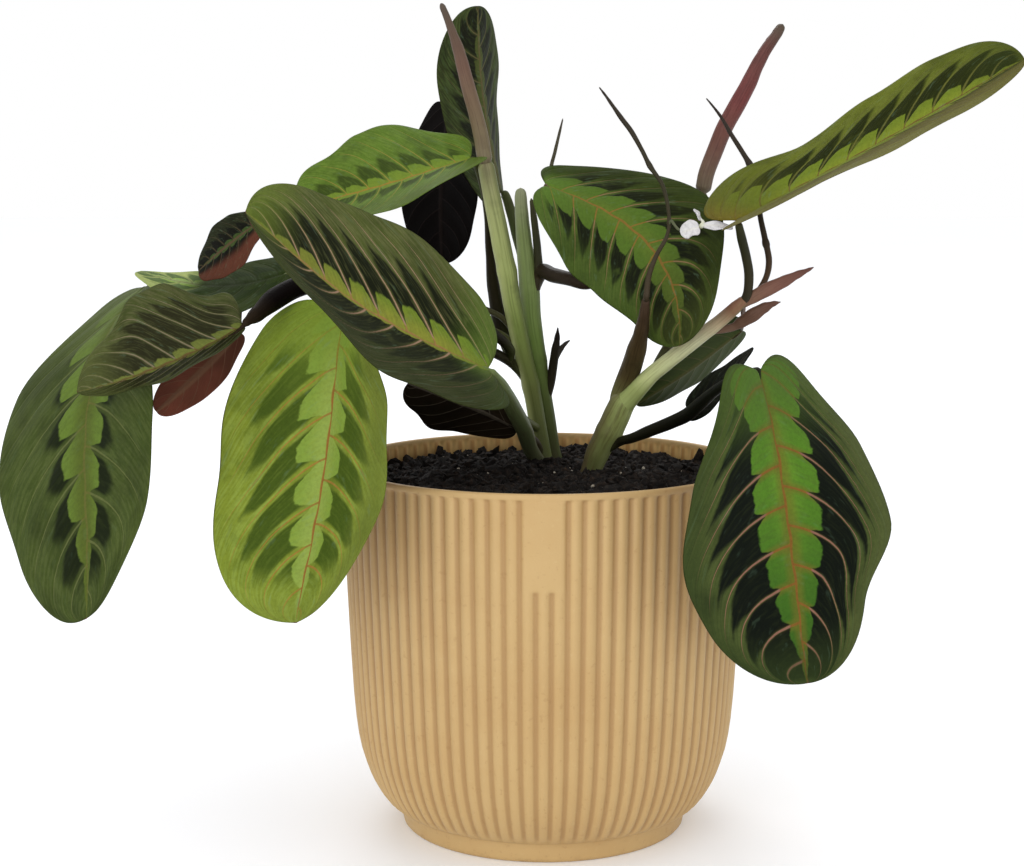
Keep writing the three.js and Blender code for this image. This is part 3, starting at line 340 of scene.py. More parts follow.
def blade(name, p, look, nr=96, nc=60):
    line = midrib(p)
    j = np.arange(nc + 1) / nc * 2 - 1
    us = np.sign(j) * (1 - (1 - np.abs(j)) ** 1.15)
    r = np.arange(nr + 1) / nr
    ts = (1 - np.cos(np.pi * (0.012 + 0.976 * (0.55 * (1 - np.cos(np.pi * r)) / 2 + 0.45 * r)))) / 2
    X = ts * STEPS
    i0 = np.minimum(X.astype(int), STEPS - 1)
    f = (X - i0)[:, None]
    P, T, N, B = [line[i0, k] * (1 - f) + line[i0 + 1, k] * f for k in range(4)]
    T, N, B = [a / np.linalg.norm(a, axis=1)[:, None] for a in (T, N, B)]
    tt = ts ** 0.86
    half, lobe = p[7], p[29]
    w0 = half * (4 * tt * (1 - tt) + 1e-9) ** 0.46
    U, V = np.meshgrid(us, ts)
    A = np.abs(U)
    wr, wl = w0 * width_factor(ts, p[17:23]), w0 * width_factor(ts, p[23:29])
    W = np.where(U >= 0, wr[:, None], wl[:, None])
    fo, cu = np.where(U >= 0, p[13], p[14]), np.where(U >= 0, p[15], p[16])
    safe = np.where(np.abs(cu) < 1e-4, 1, cu)
    a = np.where(np.abs(cu) < 1e-4, A * np.cos(fo), (np.sin(fo + cu * A) - np.sin(fo)) / safe)
    b = np.where(np.abs(cu) < 1e-4, A * np.sin(fo), (np.cos(fo) - np.cos(fo + cu * A)) / safe)
    s = np.sign(U)
    e3 = lambda m_: m_[:, None, :]
    G = e3(P) + e3(B) * (s * a * W)[..., None] + e3(N) * (b * W)[..., None] - e3(T) * (lobe * W * A * (1 - V) ** 7)[..., None]
    ang = np.where(A == 0, 0, fo + cu * A)
    NN = e3(N) * np.cos(ang)[..., None] - e3(B) * (s * np.sin(ang))[..., None]
    # quilting between the lateral veins, a sunken midrib above, a raised one below, a wavy margin
    size = half / 35.0
    ph = phase(U, V, look)
    q = (0.5 - 0.5 * np.cos(2 * np.pi * ph)) ** 0.8
    U_ = from_midrib(U, V, look)
    A_ = np.abs(U_)
    env = np.clip(A_ / 0.12, 0, 1) * (1 - A_ ** 5) * np.sin(np.pi * np.clip(V, 0, 1)) ** 0.5
    quilt = look.get("quilt", 0.55) * size * (q - 0.5) * env
    groove = 0.45 * size * np.exp(-((U_ * W) / 0.9) ** 2) * (1 - 0.6 * V)
    wave = look.get("wave", 0.7) * size * np.sin(2 * np.pi * (look.get("wn", 2.6) * V + 0.3 * s + look.get("off", 0.0))) * A ** 4 * np.sin(np.pi * V)
    ridge = (0.75 - 0.55 * V) * size * np.exp(-((U_ * W) / (1.15 - 0.5 * V)) ** 2)
    edge = np.clip((1 - A ** 10), 0, 1) ** 0.5 * np.clip(np.minimum(V - ts[0], ts[-1] - V) / 0.01, 0, 1)
    h = 0.26 * edge
    top = G + NN * (h + quilt - groove + wave)[..., None]
    low = G + NN * (-h + quilt * 0.9 + wave - ridge * edge)[..., None]
    m = nc + 1
    vt = top.reshape(-1, 3)
    border = (np.arange(nr + 1)[:, None] % nr == 0) | (np.arange(m)[None, :] % nc == 0)
    idx_top = np.arange((nr + 1) * m).reshape(nr + 1, m)
    idx_low = idx_top.copy()
    inner = ~border
    idx_low[inner] = len(vt) + np.arange(inner.sum())
    verts = np.concatenate([vt, low[inner]]) * MM
    uv = np.concatenate([np.stack([U, V], -1).reshape(-1, 2), np.stack([U, V], -1)[inner]])
    uv[:, 0] = uv[:, 0] * 0.5 + 0.5
    a_, b_, d_, e_ = idx_top[:-1, :-1], idx_top[:-1, 1:], idx_top[1:, :-1], idx_top[1:, 1:]
    ft = np.stack([a_, b_, e_, d_], -1).reshape(-1, 4)
    a_, b_, d_, e_ = idx_low[:-1, :-1], idx_low[:-1, 1:], idx_low[1:, :-1], idx_low[1:, 1:]
    fb = np.stack([a_, d_, e_, b_], -1).reshape(-1, 4)
    faces = np.concatenate([ft, fb])
    mi = np.concatenate([np.zeros(len(ft)), np.ones(len(fb))]).astype(int)
    ob = mesh_object("skin_" + name, verts.tolist(), faces.tolist(),
                     uvs=lambda me: uv[faces.ravel()].astype(np.float32).ravel(),
                     mats=(upper_side(name, look, half, p[6]), lower_side(name, look, half, p[6])), mat_index=mi)
    return hand_in(ob, look["slot"], name)


def leaf_coords(k, look, wob=0.10):
    U = k.sub(k.mul(k.u, 2.0), 1.0)
    V = k.v
    if "mid" in look:
        m_ = look["mid"]
        u0 = k.add(k.add(m_[0], k.mul(V, m_[1])), k.mul(k.mul(V, V), m_[2]))
        t = k.sub(U, u0)
        U = k.m("DIVIDE", t, k.sub(1.0, k.mul(k.m("SIGN", t), u0)))
    A = k.abs(U)
    n1 = k.noise(k.vec(k.mul(U, 1.3), k.mul(V, 4.0), look.get("off", 0.0) * 7 + 1.7), 1.6, 3.0, 0.6)
    n1 = k.sub(n1, 0.5)
    side = k.m("GREATER_THAN", U, 0.0)
    A2 = k.mul(A, A)
    lift = []
    for ar in arches(look):
        one_ = k.add(k.mul(A, ar[0]), k.mul(A2, ar[1]))
        lift.append(k.add(one_, k.mul(k.mul(A2, A2), ar[2])) if len(ar) > 2 else one_)
    arch = k.add(k.mul(lift[0], side), k.mul(lift[1], k.inv(side)))
    arch = k.add(arch, k.mul(U, look.get("skew", 0.0)))
    ph = k.add(k.add(k.mul(k.sub(V, arch), look["nv"]), k.mul(side, 0.5)), look.get("off", 0.0))
    ph = k.add(ph, k.mul(n1, wob))
    f = k.m("FRACT", k.add(ph, 20.0))
    return U, A, V, n1, ph, f


def upper_side(name, look, half, length):
    k = Nodes("upper_" + name)
    U, A, V, n1, ph, f = leaf_coords(k, look)
    grain = k.noise(k.obj, 900.0, 3.0, 0.6)
    patch = k.noise(k.obj, 60.0, 2.0, 0.5)
    # fine lines between the veins
    fine = k.m("SINE", k.mul(ph, 2 * math.pi * 6.0))
    fine2 = k.noise(k.vec(k.mul(A, 6.0), k.mul(ph, 9.0), 0.0), 1.0, 2.0, 0.5)
    d = k.min(f, k.inv(f))
    # light band, lobed toward the tip
    n2 = k.sub(k.noise(k.vec(k.mul(U, 5.0), k.mul(V, 22.0), 3.1), 1.0, 3.0, 0.65), 0.5)
    rise = k.mul(k.pow(k.step(f, 0.0, look.get("lobe_in", 0.5)), 0.8), k.pow(k.step(f, look.get("lobe_out", 0.80), 0.985, 1.0, 0.0), look.get("lobe_p", 1.0)))
    ends = k.mul(k.step(V, look.get("band_from", 0.0), look.get("band_from", 0.0) + 0.12, look.get("base_band", 0.6), 1.0), k.step(V, 0.72, 0.99, 1.0, 0.25))
    edge = k.mul(k.add(look["b0"], k.mul(rise, look["b1"])), ends)
    edge = k.mul(edge, k.step(V, 0.0, 1.0, look.get("wide", 1.2), look.get("thin", 0.7)))
    one = look.get("one_side", 0.0)
    if one:
        edge = k.mul(edge, k.step(k.mul(U, one), -0.02, 0.02, 0.35, 1.0))
    edge = k.add(edge, k.mul(n2, 0.10))
    edge = k.add(edge, k.step(V, 0.03, 0.20, look.get("flare", 0.04), 0.0))
    band = k.step(k.sub(A, edge), -0.012, 0.016, 1.0, 0.0)
    # dark blotches between the veins
    g = k.sub(1.0, k.mul(k.abs(k.sub(f, look.get("bc", 0.5))), 2.0))
    reach = k.add(look.get("r0", 0.22), k.mul(k.pow(k.max(g, 0.001), 0.55), look.get("r1", 0.40)))
    reach = k.add(reach, k.mul(n2, 0.10))
    blot = k.mul(k.step(k.sub(A, reach), -0.07, 0.05, 1.0, 0.0), k.step(g, *look.get("gap", (0.04, 0.30))))
    blot = k.mul(blot, k.step(V, *look.get("bv", (0.02, 0.10))))
    blot = k.mul(blot, k.step(V, *look.get("be", (0.97, 1.0)), 1.0, 0.0))
    blot = k.mul(blot, k.step(k.add(n1, k.mul(V, 0.0)), -0.30, -0.14))
    blot = k.mul(blot, look.get("blot", 1.0))
    # veins
    vw = k.mul(k.step(A, 0.0, 1.0, 1.0, 0.35), look.get("vw", 0.036))
    vein = k.mul(k.m("SUBTRACT", 1.0, k.m("DIVIDE", d, vw), clamp=True), k.step(A, 0.72, 0.97, 1.0, 0.0))
    vein = k.mul(k.step(vein, 0.0, 0.55), look.get("va", 0.85))
    zig = k.mul(k.m("SINE", k.mul(V, look["nv"] * math.pi * 2)), 0.006)
    rib = k.step(k.mul(k.abs(k.add(U, k.add(zig, k.mul(n1, 0.03)))), half), 0.22, 0.66, 1.0, 0.0)
    marg = k.mix(k.mul(patch, 0.9), lin(look["m"]), lin(look.get("m2", look["m"])))
    marg = k.mix(k.mul(k.step(fine2, 0.42, 0.62), 0.40), marg, lin(look.get("line", look["m"])))
    soft = k.noise(k.vec(k.mul(U, 2.2), k.mul(V, 6.0), look.get("off", 0.0) * 3 + 5.0), 1.0, 3.0, 0.6)
    marg = k.mix(k.mul(k.step(soft, 0.42, 0.70), look.get("mott", 0.45)), marg, lin(look.get("mc", look["bl"])))
    light = k.mix(k.step(A, 0.02, 0.22), lin(look["ba"]), lin(look.get("ba2", look["ba"])))
    light = k.mix(k.mul(k.step(fine2, 0.40, 0.66), 0.25), light, lin(look["m"]))
    if "bt" in look:
        light = k.mix(k.step(V, look["bt"][0], look["bt"][1]), light, lin(look["bt"][2]))
    if "bh" in look:
        light = k.mix(k.mul(k.step(A, 0.03, 0.12, 1.0, 0.0), look["bh"][1]), light, lin(look["bh"][0]))
        light = k.mix(k.mul(k.step(d, 0.04, 0.20, 1.0, 0.0), look["bh"][1]), light, lin(look["bh"][0]))
    dark = k.mix(k.mul(k.step(fine2, 0.45, 0.7), look.get("fl", 0.22)), lin(look["bl"]), marg)
    c = k.mix(blot, marg, dark)
    halo = k.mul(k.step(d, 0.0, 0.13, 1.0, 0.0), k.step(A, 0.0, 0.8, 0.5, 0.0))
    c = k.mix(k.mul(halo, look.get("halo", 0.5)), c, lin(look.get("hc", look["ve"])))
    c = k.mix(band, c, light)
    c = k.mix(vein, c, k.mix(band, lin(look["ve"]), lin(look.get("vb", look.get("rc", look["ve"])))))
    c = k.mix(k.mul(rib, look.get("ra", 0.9)), c, lin(look.get("rc", look["ve"])))
    rim = k.step(A, 0.965, 0.995)
    c = k.mix(k.mul(rim, 0.5), c, lin(look.get("rim", look["m"])))
    for ax, lo, hi, col, amt in look.get("tint", ()):
        x = {"U": U, "V": V, "A": A}[ax]
        c = k.mix(k.mul(k.step(x, lo, hi), amt), c, lin(col))
    c = k.mix(k.mul(k.step(grain, 0.35, 0.75), 0.16), c, lin((14, 20, 12)))
    # painted reflection: soft lighter glint patches in the gc colour, mixed into the blade colour
    glint = k.noise(k.vec(k.mul(A, 5.0), k.mul(ph, 3.0), 9.0), 1.3, 2.0, 0.6)
    c = k.mix(k.mul(k.step(glint, 0.60, 0.72), look.get("glint", 0.16)), c, lin(look.get("gc", (120, 150, 120))))
    h = k.add(k.mul(fine, 0.16), k.mul(grain, 0.35))
    h = k.sub(h, k.mul(k.step(d, 0.0, 0.09, 1.0, 0.0), 0.9))
    k.bump(h, 0.00016, 0.75)
    rough = k.add(look.get("rough", 0.50), k.mul(patch, 0.14))
    return k.done(c, rough, Specular_IOR_Level=look.get("spec", 0.045))


def lower_side(name, look, half, length):
    k = Nodes("under_" + name)
    U, A, V, n1, ph, f = leaf_coords(k, look)
    d = k.min(f, k.inv(f))
    grain = k.noise(k.obj, 700.0, 3.0, 0.6)
    patch = k.noise(k.obj, 45.0, 2.0, 0.5)
    fine = k.noise(k.vec(k.mul(A, 6.0), k.mul(ph, 9.0), 0.0), 1.0, 2.0, 0.5)
    un, un2 = look.get("un", (92, 38, 44)), look.get("un2", (64, 34, 34))
    c = k.mix(k.step(patch, 0.3, 0.7), lin(un), lin(un2))
    c = k.mix(k.mul(k.step(A, 0.10, 0.30, 1.0, 0.0), look.get("uband", 0.35)), c, lin(look.get("ub", (96, 74, 52))))
    c = k.mix(k.mul(k.step(fine, 0.42, 0.66), 0.35), c, lin(un2))
    vein = k.mul(k.step(d, 0.012, 0.060, 1.0, 0.0), k.step(A, 0.75, 0.97, 1.0, 0.0))
    c = k.mix(k.mul(vein, look.get("uva", 0.55)), c, lin(look.get("uv", (122, 78, 62))))
    rib = k.step(k.mul(A, half), 0.6, 1.6, 1.0, 0.0)
    c = k.mix(k.mul(rib, look.get("ura", 0.7)), c, lin(look.get("ur", look.get("uv", (134, 96, 70)))))
    for ax, lo, hi, col, amt in look.get("utint", ()):
        x = {"U": U, "V": V, "A": A}[ax]
        c = k.mix(k.mul(k.step(x, lo, hi), amt), c, lin(col))
    h = k.add(k.mul(grain, 0.4), k.mul(k.step(d, 0.0, 0.07, 1.0, 0.0), 0.8))
    k.bump(h, 0.00018, 0.7)
    return k.done(c, k.add(0.55, k.mul(patch, 0.12)), Specular_IOR_Level=look.get("uspec", 0.06))


# ---------------------------------------------------------------- stalks
def curve_points(rows, per=8):
    P = np.array([r[:3] for r in rows], float)
    R = np.array([r[3] for r in rows], float)
    E = np.concatenate([[2 * P[0] - P[1]], P, [2 * P[-1] - P[-2]]])
    out, rad = [], []
    for i in range(len(P) - 1):
        p0, p1, p2, p3 = E[i:i + 4]
        t0 = 0.0
        t1 = t0 + max(np.linalg.norm(p1 - p0), 1e-6) ** 0.5
        t2 = t1 + max(np.linalg.norm(p2 - p1), 1e-6) ** 0.5
        t3 = t2 + max(np.linalg.norm(p3 - p2), 1e-6) ** 0.5
        for s in np.arange(per) / per:
            t = t1 + (t2 - t1) * s
            a1 = p0 * (t1 - t) / (t1 - t0) + p1 * (t - t0) / (t1 - t0)
            a2 = p1 * (t2 - t) / (t2 - t1) + p2 * (t - t1) / (t2 - t1)
            a3 = p2 * (t3 - t) / (t3 - t2) + p3 * (t - t2) / (t3 - t2)
            b1 = a1 * (t2 - t) / (t2 - t0) + a2 * (t - t0) / (t2 - t0)
            b2 = a2 * (t3 - t) / (t3 - t1) + a3 * (t - t1) / (t3 - t1)
            out.append(b1 * (t2 - t) / (t2 - t1) + b2 * (t - t1) / (t2 - t1))
            k = 0.5 - 0.5 * math.cos(math.pi * s)
            rad.append(R[i] * (1 - k) + R[i + 1] * k)
    out.append(P[-1])
    rad.append(R[-1])
    return np.array(out), np.array(rad)


def frames_along(P):
    T = np.gradient(P, axis=0)
    T /= np.linalg.norm(T, axis=1)[:, None]
    n = unit(np.cross([0.0, 1.0, 0.0], T[0]))
    N = []
    for t in T:
        n = unit(n - t * np.dot(n, t))
        N.append(n)
    N = np.array(N)
    return T, N, np.cross(T, N)


def tube(name, rows, mat, sides=22, bulges=(), section=None, start=0.0, end=0.0, grow=(), bend=(), round_end=True):
    """a closed rod along a curve; section(angle, s) scales the radius, bulges are (place, width, height), bends (place, width, shift)"""
    rows = [tuple(r) for r in rows]
    P0, P1 = np.array(rows[0][:3]), np.array(rows[1][:3])
    if start:
        q = P0 - unit(P1 - P0) * start
        rows = [(*q, rows[0][3] * 0.92)] + rows
    if end:
        Q0, Q1 = np.array(rows[-1][:3]), np.array(rows[-2][:3])
        q = Q0 + unit(Q0 - Q1) * end
        rows = rows + [(*q, rows[-1][3] * 0.9)]
    rows = rows + list(grow)
    P, R = curve_points(rows)
    L = np.concatenate([[0], np.cumsum(np.linalg.norm(np.diff(P, axis=0), axis=1))])
    S = L / L[-1]
    for c, w, d in bend:
        P = P + np.exp(-((S - c) / w) ** 2)[:, None] * np.array(d)
    for c, w, h in bulges:
        R = R * (1 + h * np.exp(-((S - c) / w) ** 2))
    if round_end:
        k = np.clip((L[-1] - L) / max(R[-1], 0.2), 0, 1)
        R = R * np.sqrt(np.clip(1 - (1 - k) ** 2, 0.01, 1))
    T, N, B = frames_along(P)
    n = len(P)
    th = np.arange(sides) / sides * 2 * np.pi
    verts, uv = [], []
    for i in range(n):
        sc = section(th, S[i]) if section else (np.ones(sides), np.ones(sides))
        ring = P[i] + (np.cos(th) * R[i] * sc[0])[:, None] * N[i] + (np.sin(th) * R[i] * sc[1])[:, None] * B[i]
        verts.extend(ring)
    first, last = len(verts), len(verts) + 1
    verts += [P[0], P[-1] + T[-1] * R[-1] * 0.3]
    faces, loops = [], []
    for i in range(n - 1):
        for j in range(sides):
            k = (j + 1) % sides
            faces.append((i * sides + j, i * sides + k, (i + 1) * sides + k, (i + 1) * sides + j))
            u0, u1 = j / sides, (j + 1) / sides
            loops += [(u0, S[i]), (u1, S[i]), (u1, S[i + 1]), (u0, S[i + 1])]
    for j in range(sides):
        k = (j + 1) % sides
        faces.append((first, k, j))
        loops += [(0.5, 0), (0.5, 0), (0.5, 0)]
        o = (n - 1) * sides
        faces.append((last, o + j, o + k))
        loops += [(0.5, 1), (0.5, 1), (0.5, 1)]
    arr = np.array(loops, dtype=np.float32).ravel()
    return mesh_object("skin_" + name, (np.array(verts) * MM).tolist(), faces, uvs=lambda me: arr, mats=(mat,))


def stalk_material(name, stops, streak=0.35, dark=(60, 50, 35), rough=0.46, speck=0.0, edge=None, painted_shading_other_side=None, spec=0.12):
    k = Nodes("stalk_" + name)
    ang = k.mul(k.u, 2 * math.pi)
    cx, sy = k.m("COSINE", ang), k.m("SINE", ang)
    c = k.ramp(k.v, stops)
    st = k.noise(k.vec(k.mul(cx, 3.0), k.mul(sy, 3.0), k.mul(k.v, 2.5)), 2.2, 3.0, 0.6)
    c = k.mix(k.mul(k.step(st, 0.45, 0.70), streak), c, lin(dark))
    grain = k.noise(k.obj, 1100.0, 2.0, 0.6)
    patch = k.noise(k.obj, 130.0, 3.0, 0.6)
    c = k.mix(k.mul(k.step(patch, 0.5, 0.75), 0.30), c, lin(dark))
    # painted light and shade by side: these two options each mix a colour into one side of the stalk, chosen by the
    # cosine round it and by its negative, painting a highlight on one side and shade on the other
    if edge:
        lo, hi, col, amt = edge
        c = k.mix(k.mul(k.step(cx, lo, hi), amt), c, lin(col))
    if painted_shading_other_side:
        lo, hi, col, amt = painted_shading_other_side
        c = k.mix(k.mul(k.step(k.mul(cx, -1.0), lo, hi), amt), c, lin(col))
    if speck:
        sp = k.noise(k.obj, 520.0, 2.0, 0.7)
        c = k.mix(k.mul(k.step(sp, 0.58, 0.70), speck), c, lin((45, 30, 26)))
    k.bump(k.add(k.mul(st, 1.2), k.mul(grain, 0.4)), 0.00022, 0.6)
    return k.done(c, rough, Specular_IOR_Level=spec)



def rolled(step, turns, lo=0.84):
    def f(th, s):
        a = (th - step - turns * 2 * np.pi * s) % (2 * np.pi)
        r = lo + (1 - lo) * a / (2 * np.pi)
        return r, r
    return f


def boat(flat):
    return lambda th, s: (np.ones_like(th), np.full_like(th, flat))


def clasp(depth=0.10, turns=0.1, at=1.2):
    """a stalk with the seam of the sheath that wraps it"""
    def f(th, s):
        a = (th - at - turns * 2 * np.pi * s + np.pi) % (2 * np.pi) - np.pi
        r = 1 - depth * np.exp(-(a / 0.22) ** 2)
        return r, r
    return f


PETALS = {
    "flower_petal_left": [52.2, -14.2, 211.0, 3.3, -0.25, -1.2, 6.6, 3.2, 0.5, 0.4, 0.3, 0, 0.2, 0.2, 0.1, 0.3, 0.3,
        0, 0, 0.05, 0, 0, 0, 0, 0, 0, 0, 0, 0, 0.1],
    "flower_petal_right": [53.6, -14.0, 211.5, -0.1, 0.06, 1.0, 10.2, 1.7, 0.3, 0.4, 0.3, 0.1, -0.2, 0.1, 0.1, 0.2, 0.2,
        0, 0, 0, 0, 0, 0, 0, 0, 0.05, 0, 0, 0, 0.1],
    "flower_petal_upper": [52.6, -12.4, 213.2, 2.3, 1.1, 0.4, 4.6, 1.8, 0.3, 0.3, 0.3, 0, 0, 0.15, 0.15, 0.2, 0.2,
        0, 0, 0, 0, 0, 0, 0, 0, 0, 0, 0, 0, 0.1],
}
PRONG = [(4.0, 37.3, 161.2, 1.27), (5.8, 38.0, 164.1, 1.09), (7.6, 38.4, 166.2, 0.73), (9.5, 38.6, 167.7, 0.27)]
SHEATH = [(-2.7, 32.5, 188.6, 1.62), (-2.1, 31.5, 193.8, 1.62), (-2.5, 30.5, 201.0, 1.44), (-3.6, 29.5, 211.1, 1.25), (-4.8, 28.6, 219.7, 0.72)]
EXTRAS = {
    "flower_throat": ([(52.4, -12.7, 211.0, 0.5), (53.0, -13.5, 211.4, 0.85), (53.6, -13.2, 212.6, 0.6), (53.0, -12.4, 213.5, 0.4)], "petal",
        dict(sides=14, start=0.5, end=0.3), dict(stops=[(0, (190, 196, 150)), (0.4, (226, 226, 196)), (1, (240, 240, 232))], streak=0.1, dark=(200, 200, 160))),
    "flower_throat_side": ([(52.6, -13.4, 211.3, 0.5), (53.4, -13.9, 211.45, 0.7), (54.4, -14.0, 211.6, 0.45)], "petal",
        dict(sides=14, start=0.3, end=0.3), dict(stops=[(0, (214, 216, 180)), (1, (240, 240, 232))], streak=0.1, dark=(200, 200, 160))),
    "twig_left_prong": (PRONG, "stalk_brown", dict(sides=14, start=1.0), dict(stops=[(0, (60, 56, 42)), (1, (52, 46, 42))])),
    "sheath_left_back": (SHEATH, "stalk_brown", dict(sides=18, start=2.0), dict(stops=[(0, (66, 58, 42)), (0.5, (62, 66, 42)), (1, (84, 84, 54))], streak=0.4)),
}

# how each blade is coloured: m margin, bl blotch, ba band, ve veins, un underside
DARK = dict(slot="leaf_upper", nv=8, m=(72, 96, 48), m2=(54, 80, 40), line=(94, 118, 62), bl=(16, 30, 18), ba=(116, 158, 52), ba2=(92, 142, 44),
            ve=(176, 108, 96), rc=(146, 86, 42), hc=(62, 26, 22), b0=0.15, b1=0.11, r0=0.30, r1=0.42)
LIME = dict(slot="leaf_lime", nv=8, m=(146, 172, 68), m2=(128, 158, 58), line=(166, 188, 90), bl=(66, 104, 36), ba=(168, 198, 92), ba2=(148, 186, 74),
            ve=(180, 124, 62), rc=(158, 96, 48), hc=(110, 120, 40), b0=0.13, b1=0.13, r0=0.28, r1=0.40, halo=0.3)
GLOOM = dict(slot="leaf_dark", nv=7, m=(48, 58, 38), m2=(38, 48, 32), line=(62, 72, 48), bl=(26, 32, 22), ba=(68, 86, 42), ve=(86, 70, 52), rc=(96, 76, 56),
             b0=0.05, b1=0.10, un=(44, 30, 36), un2=(28, 20, 26), ub=(52, 40, 38), uv=(72, 56, 50))
